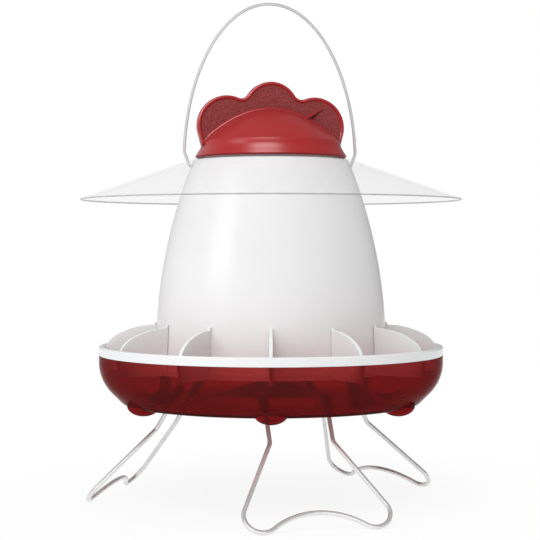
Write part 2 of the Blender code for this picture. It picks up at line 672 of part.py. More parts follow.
def make_lid(finish):
    """Lid: flared skirt, domed crown, hollow comb and a spigot that plugs the neck."""
    seat = LID_SEAT_Z
    waist = (LID_WAIST_R, seat + LID_WAIST_RISE)
    edge = (LID_FLANGE_R, seat + LID_FLANGE_EDGE)
    flare = LID_FLANGE_R - LID_WAIST_R
    near_edge = (LID_FLANGE_R - SKIRT_FOOT_PULL[0] * flare,
                 seat + SKIRT_FOOT_PULL[1] * LID_WAIST_RISE)
    near_waist = (LID_WAIST_R + SKIRT_WAIST_PULL[0] * flare,
                  seat + SKIRT_WAIST_PULL[1] * LID_WAIST_RISE)
    skirt = bezier((edge, near_edge, near_waist, waist), 3)
    steps = 5
    crown = [(CROWN_R * (1 - i / steps), crown_z(CROWN_R * (1 - i / steps))) for i in range(steps + 1)]
    outside = [(0.0, seat), (LID_FLANGE_R - LID_FLANGE_EDGE / 4, seat)] + skirt + crown
    lid = place("lid", turned(outside, TURNED_STEPS), finish)
    combine(lid, [make_comb(), crown_bead(-1), crown_bead(1)], "UNION")

    below = seat - LID_WALL
    spigot_outer = NECK_R - HOPPER_WALL - SIDE_GAP
    spigot_inner = spigot_outer - SPIGOT_WALL
    ceiling = NECK_TOP_Z + NECK_TOP_GAP
    inner_crown = [r for r, z in crown if r < spigot_inner]
    cavity = [(0.0, below), (spigot_inner, below), (spigot_inner, crown_z(spigot_inner) - LID_WALL)]
    cavity += [(r, crown_z(r) - LID_WALL) for r in inner_crown]
    neck_room = NECK_R + SIDE_GAP
    flared = LID_FLANGE_R - LID_WALL
    spigot_foot = NECK_TOP_Z - SPIGOT_DEPTH
    trench = [(spigot_outer, below), (flared, below), (flared, seat + LID_FLANGE_EDGE),
              (neck_room, seat + TRENCH_SHARE * LID_WAIST_RISE), (neck_room, ceiling), (spigot_outer, ceiling)]
    mouth = [(0.0, below), (neck_room, below), (neck_room, spigot_foot), (0.0, spigot_foot)]
    cuts = [turned(cavity, TURNED_STEPS), turned(trench, TURNED_STEPS), turned(mouth, TURNED_STEPS)]
    combine(lid, cuts, "DIFFERENCE")

    core = COMB_THICKNESS / 2 - COMB_PANEL_SINK - COMB_SKIN
    floor = crown_z(spigot_inner - 2 * LID_WALL) - LID_WALL - COMB_SKIN
    pocket = comb_outline(COMB_INNER_MARGIN, floor)
    pocket[0] = (spigot_inner - 2 * LID_WALL, floor)
    pocket[-1] = (-spigot_inner + 2 * LID_WALL, floor)
    combine(lid, [slab(pocket, -core, core)], "DIFFERENCE")
    smooth(lid)
    return lid


def make_bail(finish):
    """Bail: a half-ellipse of wire whose ends hook inwards along the pivot axis."""
    arch_z = BAIL_PIVOT_Z + BAIL_ARCH_LIFT
    knee_z = BAIL_PIVOT_Z + BAIL_KNEE_RISE
    foot_angle = math.asin((knee_z - arch_z) / BAIL_ARCH_RISE)
    steps = 32
    angles = [foot_angle + (math.pi - 2 * foot_angle) * i / steps for i in range(steps + 1)]
    arch = [Vector((BAIL_HALF_WIDTH * math.cos(a), 0, arch_z + BAIL_ARCH_RISE * math.sin(a)))
            for a in angles]
    knee = arch[0]
    hook = Vector((BAIL_HOOK_X, 0, BAIL_PIVOT_Z))
    tip = Vector((BAIL_HOOK_X - BAIL_HOOK_LENGTH, 0, BAIL_PIVOT_Z))
    end = [tip] + bend(tip, hook, knee, BAIL_HOOK_BEND) + bend(hook, knee, arch[2], BAIL_KNEE_BEND, 3)
    mirrored = [Vector((-p.x, p.y, p.z)) for p in end[::-1]]
    path = end + arch[1:-1] + mirrored
    pivot = Vector((0, 0, BAIL_PIVOT_Z))
    bail = bent_wire("bail", [p - pivot for p in path], BAIL_WIRE_R, finish)
    bail.location = pivot
    return bail


def leg_loop():
    """Half of a leg's loop in its own plane, as (across, down) points from the knee."""
    down = (PAN_UNDERSIDE_Z - LEG_KNEE_DROP - LEG_WIRE_R) / math.cos(math.radians(LEG_SPLAY))
    knee = Vector((LEG_KNEE_HALF_GAP, 0.0))
    foot = Vector((LEG_FOOT_HALF_GAP, down - LEG_FOOT_BEND))
    side = heading(knee, foot) - math.degrees(math.asin(LEG_FOOT_BEND / (foot - knee).length))
    drop = LEG_FOOT_BEND - LEG_ARCH_RISE
    arch_r = (foot.x ** 2 + drop ** 2 - LEG_FOOT_BEND ** 2) / (2 * (LEG_FOOT_BEND - drop))
    arch_centre = (0.0, foot.y + drop + arch_r)
    inward = heading(foot, arch_centre)
    corner = arc(foot, LEG_FOOT_BEND, side - 90, inward, 6)
    arch = arc(arch_centre, arch_r, inward - 180, -90, 4)
    return [tuple(knee)] + corner + arch[1:]


def make_leg(name, azimuth, finish):
    """Leg: one wire that runs from a socket down to the floor, across and back up."""
    splay = math.radians(LEG_SPLAY)
    knee_z = PAN_UNDERSIDE_Z - LEG_KNEE_DROP
    half = [Vector((x, -LEG_KNEE_R - v * math.sin(splay), knee_z - v * math.cos(splay)))
            for x, v in leg_loop()]
    right = [socket_end()] + bend(socket_end(), half[0], half[1], LEG_KNEE_BEND) + half[1:]
    left = [Vector((-p.x, p.y, p.z)) for p in right[-2::-1]]
    turn = turned_to(azimuth)
    return bent_wire(name, [turn @ p for p in right + left], LEG_WIRE_R, finish)


def build():
    remove_scene_objects()
    red = plastic("red_plastic", (0.52, 0.03, 0.035), 0.22)
    clear_red = plastic("clear_red_plastic", (0.35, 0.008, 0.012), 0.12, alpha=0.75)
    white = plastic("white_plastic", (0.86, 0.87, 0.88), 0.25)
    milky = plastic("milky_plastic", (0.84, 0.84, 0.85), 0.3)
    clear = plastic("clear_plastic", (0.95, 0.96, 0.97), 0.05, alpha=0.25)
    steel = metal("galvanised_wire", (0.72, 0.72, 0.74), 0.28)
    coated = plastic("white_coated_wire", (0.8, 0.8, 0.81), 0.35)
    make_pan(clear_red)
    make_feed_grid(white)
    make_hopper(milky)
    make_rain_shield(clear)
    make_lid(red)
    make_bail(coated)
    for i, name in enumerate(LEG_NAMES):
        make_leg(name, 360.0 * i / LEG_COUNT, steel)


build()
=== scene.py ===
"""Looks for the poultry feeder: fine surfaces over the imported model, materials and studio."""

import json
import math

import bmesh
import bpy
from mathutils import Matrix, Vector

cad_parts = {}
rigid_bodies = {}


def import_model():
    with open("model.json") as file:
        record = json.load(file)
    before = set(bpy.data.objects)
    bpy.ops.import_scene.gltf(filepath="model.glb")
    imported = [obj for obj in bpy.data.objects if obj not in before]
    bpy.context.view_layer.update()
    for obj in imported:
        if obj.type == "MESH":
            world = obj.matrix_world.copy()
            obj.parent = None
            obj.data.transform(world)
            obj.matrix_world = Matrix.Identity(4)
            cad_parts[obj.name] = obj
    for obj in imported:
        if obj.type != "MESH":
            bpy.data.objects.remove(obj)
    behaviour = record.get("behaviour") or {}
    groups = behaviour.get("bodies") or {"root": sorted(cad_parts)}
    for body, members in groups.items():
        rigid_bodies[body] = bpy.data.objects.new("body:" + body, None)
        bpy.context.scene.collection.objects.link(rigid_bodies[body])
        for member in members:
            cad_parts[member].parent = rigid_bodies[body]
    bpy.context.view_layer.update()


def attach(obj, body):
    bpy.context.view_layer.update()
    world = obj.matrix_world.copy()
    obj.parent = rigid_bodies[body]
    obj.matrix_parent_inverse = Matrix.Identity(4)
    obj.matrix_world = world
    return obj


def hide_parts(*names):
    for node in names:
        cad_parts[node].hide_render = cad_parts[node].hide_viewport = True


MM = 0.001

# The object's sizes, as in the part's source, and the finer edges of the visible surfaces

# Clearances between the pieces
SEAT_GAP = 0.3 * MM
SIDE_GAP = 0.4 * MM

# Dish
PAN_UNDERSIDE_Z = 92.0 * MM
PAN_R = 160.0 * MM
PAN_RIM_Z = 137.0 * MM
PAN_RIM_CHAMFER = 0.4 * MM
PAN_WALL = 2.8 * MM
PAN_CURVE_R = 40.0 * MM
PAN_CURVE_Z = 131.0 * MM
PAN_CORNER = 4.0 * MM
PAN_FLOOR_Z = PAN_UNDERSIDE_Z + PAN_WALL
RIM_TONGUE_TOP_Z = 142.0 * MM
RIM_TONGUE_WALL = 1.5 * MM
SPREADER_R = 66.0 * MM
SPREADER_HEIGHT = 20.0 * MM
FOOT_COUNT = 6
FOOT_FIRST_AZIMUTH = -15.0
FOOT_PITCH_R = 131.0 * MM
FOOT_R = 15.0 * MM
FOOT_HALF_HEIGHT = 9.9 * MM
FOOT_Z = 96.0 * MM

# Posts in the dish that carry the hopper and lock it
POST_COUNT = 3
POST_FIRST_AZIMUTH = 35.0
POST_SPAN = 15.0
POST_WALL = 3.0 * MM
POST_R = 104.7 * MM
POST_ABOVE_SEAT = 12.0 * MM
POST_LEDGE_HEIGHT = 3.0 * MM
POST_LEDGE_SPAN = 14.0
GUSSET_HEIGHT = 12.0 * MM
GUSSET_REACH = 12.0 * MM
GUSSET_WALL = 2.2 * MM
LOCK_SLOT_RISE = 4.0 * MM
LOCK_SLOT_HEIGHT = 3.4 * MM
LOCK_SLOT_AZIMUTH = 3.5
LOCK_SLOT_SPAN = 12.0

# Hopper
HOPPER_FOOT_R = 107.8 * MM
HOPPER_FOOT_Z = 122.2 * MM
HOPPER_FOOT_CHAMFER = 0.5 * MM
HOPPER_HEIGHT = 195.5 * MM
HOPPER_WALL = 2.2 * MM
BELL_POWER = 2.25
SHOULDER_Z = HOPPER_FOOT_Z + HOPPER_HEIGHT
SHOULDER_R = 72.4 * MM
SHOULDER_ROUND = 1.2 * MM
NECK_R = 62.5 * MM
NECK_TOP_Z = 331.0 * MM

# Feed grid
GRID_BOTTOM_Z = 137.3 * MM
GRID_TOP_Z = 145.5 * MM
GRID_RING_WIDTH = 5.4 * MM
GRID_EDGE_ROUND = 1.6 * MM
GRID_FOOT_CHAMFER = 0.3 * MM
FIN_COUNT = 12
FIN_FIRST_AZIMUTH = 15.0
FIN_BOTTOM_Z = 121.3 * MM
FIN_WALL = 3.2 * MM
FIN_RISE = 18.9 * MM
FIN_EDGE_ROUND = 0.55 * MM
FIN_IN_RING = 0.8 * MM
FIN_IN_COLLAR = 0.2 * MM
FIN_ARCH_DROP = 0.7 * MM
FIN_ARCH_FULLNESS = 0.48
FIN_ARCH_LEAN = 0.07
FIN_ARCH_DIP = 0.01
FIN_NIB_RISE = 2.6 * MM
FIN_NIB_WIDTH = 2.4 * MM
COLLAR_WALL = 1.8 * MM
COLLAR_HEIGHT = 4.7 * MM

# Rain shield
SHIELD_R = 177.3 * MM
SHIELD_DROP = 38.0 * MM
SHIELD_WALL = 1.4 * MM
SHIELD_SEAT_Z = 318.0 * MM
SHIELD_SLOT_LENGTH = 40.0 * MM
SHIELD_SLOT_INNER_X = 77.2 * MM
SHIELD_SLOT_OUTER_X = 85.3 * MM

# Lid
LID_SEAT_Z = 319.7 * MM
LID_FLANGE_R = 70.7 * MM
LID_FLANGE_EDGE = 1.6 * MM
LID_FLANGE_CHAMFER = ((69.2 * MM, 0.0), (70.5 * MM, 1.3 * MM))
LID_WAIST_R = 65.0 * MM
LID_WAIST_RISE = 12.6 * MM
LID_WAIST_GROOVE = ((64.6 * MM, 14.0 * MM), (64.0 * MM, 15.6 * MM))
LID_WALL = 2.2 * MM
LID_ROOM_RISE = 7.6 * MM
SKIRT_FOOT_PULL = (0.35, 5.0 * MM)
SKIRT_WAIST_PULL = (0.1, 8.8 * MM)
CROWN_R = 62.7 * MM
CROWN_TOP_Z = 364.9 * MM
CROWN_HEIGHT = 28.6 * MM
SPIGOT_WALL = 2.2 * MM
SPIGOT_DEPTH = 9.0 * MM
NECK_TOP_GAP = 1.0 * MM

# Comb on the lid
COMB_HALF = 4.5 * MM
COMB_EDGE_ROUND = 1.9 * MM
COMB_PANEL_STEPS = ((0.3 * MM, 0.0), (0.6 * MM, -0.5 * MM), (0.6 * MM, -0.8 * MM))
COMB_IN_CROWN = 2.4 * MM
COMB_FOOT_X = 60.0 * MM
COMB_HEEL_X = 66.6 * MM
COMB_HEEL_RISE = 10.5 * MM
MID_LOBE_R = 26.5 * MM
MID_LOBE_RISE = 45.1 * MM
SIDE_LOBE_R = 28.3 * MM
SIDE_LOBE_X = 42.4 * MM
SIDE_LOBE_RISE = 29.6 * MM
SIDE_LOBE_END = -18.0
LOBE_VALLEY_R = 8.0 * MM
LINE_X = 55.4 * MM
LINE_HALF_WIDTH = 0.35 * MM
LINE_TOP_Z = 369.5 * MM
LINE_INSET = 1.5 * MM
LINE_IN_CROWN = 1.0 * MM
LINE_ROUND = 0.1 * MM
BEAD_R = 2.3 * MM
BEAD_INSET = 0.6 * MM
BEAD_END_GAP = 1.6 * MM
BEAD_LIFT = 0.1 * MM
CREASE_INSET = 1.0 * MM
CREASE_RIDGE_HEIGHT = 4.0 * MM
CREASE_ROOT_DEPTH = 1.5 * MM
CREASE_TIP = (51.2 * MM, 367.6 * MM)
CREASE_UPPER = (29.5 * MM, 358.8 * MM)
CREASE_LOWER = (36.2 * MM, 353.6 * MM)
CREASE_RIDGE = (33.2 * MM, 357.0 * MM)
CREASE_ROOT = (33.4 * MM, 356.4 * MM)

# Bail
BAIL_WIRE_R = 1.4 * MM
BAIL_PIVOT_Z = 311.6 * MM
BAIL_HALF_WIDTH = 83.0 * MM
BAIL_ARCH_LIFT = 3.4 * MM
BAIL_ARCH_RISE = 149.1 * MM
BAIL_KNEE_RISE = 13.4 * MM
BAIL_HOOK_X = 77.9 * MM
BAIL_TIP_X = 67.5 * MM
BAIL_HOOK_BEND = 3.2 * MM
BAIL_KNEE_BEND = 8.0 * MM

# Legs and their sockets
LEG_AZIMUTHS = (("leg_front", 0.0), ("leg_right", 120.0), ("leg_left", 240.0))
LEG_WIRE_R = 2.1 * MM
LEG_KNEE_R = 103.0 * MM
LEG_KNEE_Z = 67.0 * MM
LEG_KNEE_HALF_GAP = 28.5 * MM
LEG_KNEE_BEND = 10.0 * MM
LEG_SPLAY = 42.0
LEG_FOOT_HALF_GAP = 48.9 * MM
LEG_FOOT_BEND = 15.0 * MM
LEG_ARCH_RISE = 16.5 * MM
SOCKET_LEAN = 31.0
SOCKET_WALL = 2.2 * MM
SOCKET_DEPTH = 11.0 * MM
SOCKET_CAP = 2.0 * MM
SOCKET_START = 12.5 * MM

# Facets of the visible surfaces
TURNED_STEPS = 192
PAN_STEPS = 144
SHIELD_STEPS = 256
HOPPER_LEVELS = 60
CROWN_LEVELS = 48
BAIL_STEPS = 160

# Parts of a unit normal past which a face counts as looking along Y, or down, and the area in
# square metres past which a face of the comb counts as its panel
FACING_Y = 0.99
FACING_DOWN = -0.3
PANEL_AREA = 1e-3

# Studio; a fade is the range of what it follows, and then the range that this becomes
WHITE = (1.0, 1.0, 1.0, 1.0)
FLOOR_COLOUR = (0.9, 0.9, 0.9, 1.0)
FLOOR_HALF_SIZE = 40.0
FLOOR_FADE = (0.15, 0.42, 0.88, 1.0)
ROOM_R = 7.0
ROOM_PALE_SIDE = (-0.574, 0.819, 0.0)
ROOM_FADE = (3.5, 6.5, 0.18, 0.6)
WORLD_LIGHT = 0.6
PHOTO_PIXELS = 540
CAMERA_PLACE = (-0.3613, -1.3485, 0.2393)
CAMERA_AZIMUTH = -15.0
CAMERA_LENS = 99.5
CAMERA_SHIFT_PIXELS = (-1.0, -25.5)


# Mesh tools

def mesh_from(bm, name):
    bmesh.ops.recalc_face_normals(bm, faces=bm.faces)
    mesh = bpy.data.meshes.new(name)
    bm.to_mesh(mesh)
    bm.free()
    return mesh


def place(name, data):
    """Put a mesh or other data into the scene under a name."""
    thing = bpy.data.objects.new(name, data)
    bpy.context.scene.collection.objects.link(thing)
    return thing


def arc(centre, radius, start, stop, steps):
    """Points of an arc in a plane, from one angle in degrees to another."""
    angles = [math.radians(start + (stop - start) * i / steps) for i in range(steps + 1)]
    return [(centre[0] + radius * math.cos(a), centre[1] + radius * math.sin(a)) for a in angles]


def heading(start, end):
    """The direction from one point of a plane to another, in degrees."""
    return math.degrees(math.atan2(end[1] - start[1], end[0] - start[0]))


def bezier(points, steps):
    """Points along a cubic curve from its two ends and its two handles."""
    a, b, c, d = (Vector(p) for p in points)
    shares = [i / steps for i in range(steps + 1)]
    return [tuple(a * (1 - t) ** 3 + b * (3 * t * (1 - t) ** 2)
                  + c * (3 * t * t * (1 - t)) + d * t ** 3) for t in shares]


def turned_to(azimuth):
    return Matrix.Rotation(math.radians(azimuth), 4, "Z")


def compass(radius, azimuth, z=0.0):
    """A point by its azimuth, where 0 degrees is the front and 90 degrees is +X."""
    turn = math.radians(azimuth)
    return Vector((radius * math.sin(turn), -radius * math.cos(turn), z))


def turned(profile, steps=TURNED_STEPS):
    """A closed (radius, height) profile spun about Z into a closed mesh."""
    bm = bmesh.new()
    verts = [bm.verts.new((r, 0.0, z)) for r, z in profile]
    edges = [bm.edges.new((verts[i - 1], verts[i])) for i in range(len(verts))]
    bmesh.ops.spin(bm, geom=verts + edges, cent=(0, 0, 0), axis=(0, 0, 1),
                   angle=2 * math.pi, steps=steps, use_merge=True)
    bmesh.ops.remove_doubles(bm, verts=bm.verts, dist=1e-6)
    bmesh.ops.dissolve_degenerate(bm, edges=bm.edges, dist=1e-6)
    bmesh.ops.delete(bm, geom=[e for e in bm.edges if e.is_wire], context="EDGES")
    return mesh_from(bm, "turned")


def prism(outline, along):
    """A closed flat outline extruded along a vector."""
    bm = bmesh.new()
    face = bm.faces.new([bm.verts.new(p) for p in outline])
    lifted = bmesh.ops.extrude_face_region(bm, geom=[face])
    moved = [item for item in lifted["geom"] if isinstance(item, bmesh.types.BMVert)]
    bmesh.ops.translate(bm, verts=moved, vec=along)
    return mesh_from(bm, "prism")


def slab(outline, low_y, high_y):
    """A closed (x, z) outline extruded along Y."""
    return prism([(x, low_y, z) for x, z in outline], (0, high_y - low_y, 0))


def soft_slab(outline, half_thickness, radius, segments):
    """A slab about Y = 0 with rounded rims, still open to edits."""
    bm = bmesh.new()
    bm.from_mesh(slab(outline, -half_thickness, half_thickness))
    bm.normal_update()
    rims = [e for f in bm.faces if abs(f.normal.y) > FACING_Y for e in f.edges]
    bmesh.ops.bevel(bm, geom=rims, offset=radius, segments=segments, profile=0.5, affect="EDGES")
    return bm


def sector(inner_r, outer_r, low_z, high_z, azimuth, span, steps=12):
    """A block that curves round the axis."""
    bm = bmesh.new()
    corners = ((inner_r, low_z), (outer_r, low_z), (outer_r, high_z), (inner_r, high_z))
    rings = []
    for i in range(steps + 1):
        turn = azimuth - span / 2 + span * i / steps
        rings.append([bm.verts.new(compass(r, turn, z)) for r, z in corners])
    for near, far in zip(rings, rings[1:]):
        for k in range(4):
            bm.faces.new((near[k - 1], near[k], far[k], far[k - 1]))
    bm.faces.new(rings[0])
    bm.faces.new(rings[-1])
    return mesh_from(bm, "sector")


def rod(start, end, radius, steps=32):
    axis = end - start
    bm = bmesh.new()
    bmesh.ops.create_cone(bm, cap_ends=True, segments=steps, radius1=radius, radius2=radius,
                          depth=axis.length)
    turn = Vector((0, 0, 1)).rotation_difference(axis).to_matrix().to_4x4()
    bmesh.ops.transform(bm, verts=bm.verts, matrix=Matrix.Translation((start + end) / 2) @ turn)
    return mesh_from(bm, "rod")


def trimmed_above(mesh, z):
    """A closed mesh without what lies under a level, closed again."""
    bm = bmesh.new()
    bm.from_mesh(mesh)
    geom = list(bm.verts) + list(bm.edges) + list(bm.faces)
    bmesh.ops.bisect_plane(bm, geom=geom, plane_co=(0, 0, z), plane_no=(0, 0, 1),
                           clear_inner=True)
    bmesh.ops.holes_fill(bm, edges=[e for e in bm.edges if e.is_boundary])
    return mesh_from(bm, "trimmed")


def ellipsoid(centre, radius, half_height):
    bm = bmesh.new()
    bmesh.ops.create_uvsphere(bm, u_segments=40, v_segments=24, radius=1.0)
    shape = Matrix.Diagonal((radius, radius, half_height, 1.0))
    bmesh.ops.transform(bm, verts=bm.verts, matrix=Matrix.Translation(centre) @ shape)
    return mesh_from(bm, "ellipsoid")


def combine(target, meshes, operation):
    """Join meshes to an object, or cut them out of it."""
    for mesh in meshes:
        tool = place("tool", mesh)
        step = target.modifiers.new("step", "BOOLEAN")
        step.operation = operation
        step.object = tool
        result = target.evaluated_get(bpy.context.evaluated_depsgraph_get())
        target.data = bpy.data.meshes.new_from_object(result)
        target.modifiers.clear()
        bpy.data.objects.remove(tool, do_unlink=True)


def copies_round(mesh, count, first_azimuth):
    """Copies of a mesh, evenly spaced round the axis, as one mesh."""
    bm = bmesh.new()
    for i in range(count):
        step = mesh.copy()
        step.transform(turned_to(first_azimuth + 360.0 * i / count))
        bm.from_mesh(step)
    return mesh_from(bm, "copies")


def both_sides(mesh):
    """A mesh and its mirror image across X = 0."""
    bm = bmesh.new()
    bm.from_mesh(mesh)
    bmesh.ops.mirror(bm, geom=list(bm.verts) + list(bm.edges) + list(bm.faces),
                     axis="X", merge_dist=0.0)
    return mesh_from(bm, "both sides")


def smooth(thing, angle=30.0):
    """Smooth shading in which large faces keep their own direction."""
    thing.data.shade_smooth()
    thing.data.set_sharp_from_angle(angle=math.radians(angle))
    weighted = thing.modifiers.new("weighted normals", "WEIGHTED_NORMAL")
    weighted.keep_sharp = True
    weighted.weight = 100


# Wire tools

def bend(before, corner, after, radius, steps=10):
    """Points of the round bend that replaces a corner between two straight runs."""
    back = (before - corner).normalized()
    ahead = (after - corner).normalized()
    half = back.angle(ahead) / 2
    centre = corner + (back + ahead).normalized() * (radius / math.sin(half))
    reach = radius / math.tan(half)
    start = (corner + back * reach - centre).normalized()
    stop = (corner + ahead * reach - centre).normalized()
    return [centre + radius * start.slerp(stop, i / steps) for i in range(steps + 1)]


def mirrored_back(points):
    """A half path's points mirrored across X = 0, from its last to its first."""
    return [Vector((-p.x, p.y, p.z)) for p in points[::-1]]


def bent_wire(name, points, radius):
    """A round wire along a path of points."""
    curve = bpy.data.curves.new(name, "CURVE")
    curve.dimensions = "3D"
    curve.bevel_depth = radius
    curve.bevel_resolution = 6
    curve.use_fill_caps = True
    line = curve.splines.new("POLY")
    line.points.add(len(points) - 1)
    for knot, point in zip(line.points, points):
        knot.co = (*point, 1.0)
    line.use_smooth = True
    return place(name, curve)


# Finishing a piece

def dress(piece, node, body, slot, *materials):
    """Give a piece its materials and its body, and hide the imported node that it stands for; slot
    is not used.
    """
    piece.data.materials.clear()
    for material in materials:
        piece.data.materials.append(material)
    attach(piece, body)
    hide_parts(node)


def use_second_material(piece, where):
    """Give a dressed piece's second material to the faces that a test picks."""
    for face in piece.data.polygons:
        face.material_index = int(where(face))


# Material tools

def shader_of(material):
    return material.node_tree.nodes["Principled BSDF"]


def new_material(name, **values):
    """A Principled material; values are given by socket name, with _ for a space."""
    material = bpy.data.materials.new(name)
    material.use_nodes = True
    for key, value in values.items():
        shader_of(material).inputs[key.replace("_", " ")].default_value = value
    return material


def new_node(owner, kind, **values):
    """A node in a material or world; values are set on its sockets or properties."""
    made = owner.node_tree.nodes.new(kind)
    for key, value in values.items():
        if key in made.inputs:
            made.inputs[key].default_value = value
        else:
            setattr(made, key, value)
    return made


def link(owner, start, end):
    owner.node_tree.links.new(start, end)


def combined(owner, operation, first, second):
    """The result of a Math node on two values, of which the second may be a plain number."""
    made = new_node(owner, "ShaderNodeMath", operation=operation)
    link(owner, first, made.inputs[0])
    if isinstance(second, float):
        made.inputs[1].default_value = second
    else:
        link(owner, second, made.inputs[1])
    return made.outputs[0]


def map_range(owner, value, from_min, from_max, to_min, to_max):
    """A value carried from one range to another."""
    ends = {"From Min": from_min, "From Max": from_max, "To Min": to_min, "To Max": to_max}
    made = new_node(owner, "ShaderNodeMapRange", **ends)
    link(owner, value, made.inputs["Value"])
    return made.outputs["Result"]


def noise(material, vector, scale, detail=2.0, roughness=0.5):
    made = new_node(material, "ShaderNodeTexNoise",
                    Scale=scale, Detail=detail, Roughness=roughness)
    link(material, vector, made.inputs["Vector"])
    return made.outputs["Fac"]


def object_coords(material):
    """The object's own coordinates, in metres."""
    return new_node(material, "ShaderNodeTexCoord").outputs["Object"]


def ramp(material, value, stops):
    """A colour ramp with (position, colour) stops."""
    made = new_node(material, "ShaderNodeValToRGB")
    for element, (position, colour) in zip(made.color_ramp.elements, stops):
        element.position = position
        element.color = (*colour, 1.0)
    link(material, value, made.inputs["Fac"])
    return made.outputs["Color"]


def grey(value):
    return (value, value, value)


def vary_colour(material, value, low, high):
    """Colour a material by a value, between two (position, colour) stops."""
    link(material, ramp(material, value, (low, high)), shader_of(material).inputs["Base Color"])


def vary_roughness(material, value, low, high):
    link(material, ramp(material, value, ((0.1, grey(low)), (0.9, grey(high)))),
         shader_of(material).inputs["Roughness"])


def bump(material, height, distance, strength):
    """Add surface relief from a height value."""
    relief = new_node(material, "ShaderNodeBump", Strength=strength, Distance=distance)
    link(material, height, relief.inputs["Height"])
    link(material, relief.outputs["Normal"], shader_of(material).inputs["Normal"])


# Materials

def moulded(name, colour, shade, roughness, **values):
    """Injection-moulded plastic: a faint flow mottle, uneven gloss and very slight ripple."""
    material = new_material(name, **values)
    vector = object_coords(material)
    mottle = noise(material, vector, 14.0)
    fine = noise(material, vector, 900.0)
    vary_colour(material, mottle, (0.15, shade), (0.85, colour))
    vary_roughness(material, noise(material, vector, 26.0), roughness * 0.85, roughness * 1.15)
    ripple = combined(material, "ADD", mottle, combined(material, "MULTIPLY", fine, 0.02))
    bump(material, ripple, 0.0006, 0.35)
    return material


def comb_panel_plastic():
    """The lid's red plastic with the fine grain of the comb's sunk panels."""
    material = new_material("comb_panel_red", Specular_IOR_Level=0.25)
    grain = noise(material, object_coords(material), 1050.0, roughness=0.7)
    vary_colour(material, grain, (0.36, (0.165, 0.020, 0.020)), (0.64, (0.325, 0.052, 0.052)))
    vary_roughness(material, grain, 0.45, 0.62)
    bump(material, grain, 0.0004, 0.6)
    return material


def dish_plastic():
    """See-through dark red, which darkens with the depth of plastic behind the surface."""
    material = new_material("pan_clear_red", Roughness=0.04, IOR=1.025, Transmission_Weight=0.88,
                            Specular_IOR_Level=0.25)
    mottle = noise(material, object_coords(material), 22.0, detail=3.0)
    vary_colour(material, mottle, (0.2, (0.42, 0.066, 0.068)), (0.8, (0.53, 0.083, 0.085)))
    bump(material, mottle, 0.0008, 0.35)
    depth = new_node(material, "ShaderNodeVolumeAbsorption",
                     Color=(0.71, 0.09, 0.09, 1.0), Density=200.0)
    out = material.node_tree.nodes["Material Output"]
    link(material, depth.outputs["Volume"], out.inputs["Volume"])
    return material


def shield_plastic():
    """Thin clear sheet with a slight waviness."""
    material = new_material("shield_clear", Roughness=0.06, Alpha=0.12)
    wave = noise(material, object_coords(material), 12.0)
    vary_colour(material, wave, (0.2, grey(0.82)), (0.8, grey(0.88)))
    bump(material, wave, 0.0005, 0.12)
    return material


def shield_edge_painted_shade():
    """The clear sheet's cut edge, painted grey: painted shade for the dark line that light makes
    at a clear sheet's edge.
    """
    material = new_material("shield_cut_edge", Roughness=0.15, Alpha=0.75)
    cut = noise(material, object_coords(material), 80.0, detail=3.0)
    vary_colour(material, cut, (0.3, grey(0.30)), (0.7, grey(0.40)))
    return material


def wire_metal(name, colour, metallic, roughness):
    """Zinc-coated wire with a faint spangle and streaky gloss."""
    material = new_material(name, Metallic=metallic)
    vector = object_coords(material)
    streak = noise(material, vector, 90.0)
    spangle = noise(material, vector, 60.0)
    vary_colour(material, spangle, (0.25, tuple(c * 0.9 for c in colour)), (0.75, colour))
    vary_roughness(material, streak, roughness * 0.8, roughness * 1.25)
    return material


def make_materials():
    return {
        "lid": moulded("lid_red", (0.39, 0.017, 0.020), (0.34, 0.013, 0.016), 0.42,
                       Specular_IOR_Level=0.1, Coat_Weight=0.85, Coat_Roughness=0.3),
        # A darker matte red, on the fold, the mould lines and the lid's downward faces; on the
        # fold and the downward faces its darkness is partly painted shade.
        "crease": moulded("crease_red", (0.30, 0.016, 0.018), (0.26, 0.013, 0.015), 0.5,
                          Specular_IOR_Level=0.2),
        # Near-black red for the fold's lower facet: painted shade under the fold.
        "shade": moulded("crease_shade_red", (0.13, 0.008, 0.010), (0.10, 0.006, 0.008), 0.5,
                         Specular_IOR_Level=0.2),
        "panel": comb_panel_plastic(),
        "grid": moulded("grid_white", (0.785, 0.80, 0.805), (0.755, 0.77, 0.775), 0.22),
        "hopper": moulded("hopper_milky", (0.82, 0.82, 0.825), (0.79, 0.79, 0.795), 0.24),
        "pan": dish_plastic(),
        "shield": shield_plastic(),
        "shield_edge": shield_edge_painted_shade(),
        "leg": wire_metal("leg_wire", (0.88, 0.88, 0.885), 0.55, 0.22),
        "bail": wire_metal("bail_wire", (0.66, 0.66, 0.665), 0.25, 0.3),
    }


# Dish

def pan_side(inset, steps=18):
    """The dish's rounded corner and side, up to the rim, as (radius, height) points."""
    side = arc((PAN_R - PAN_CURVE_R, PAN_CURVE_Z), PAN_CURVE_R - inset, -45, 0, steps)
    tangent_r, tangent_z = side[0]
    floor = PAN_UNDERSIDE_Z + inset
    corner_r = tangent_r - (tangent_z - floor)
    rise = 0.7 * PAN_CORNER
    corner = bezier(((corner_r - PAN_CORNER, floor), (corner_r - PAN_CORNER / 3, floor),
                     (corner_r + PAN_CORNER / 4, floor + PAN_CORNER / 4),
                     (corner_r + rise, floor + rise)), 6)
    return corner + side


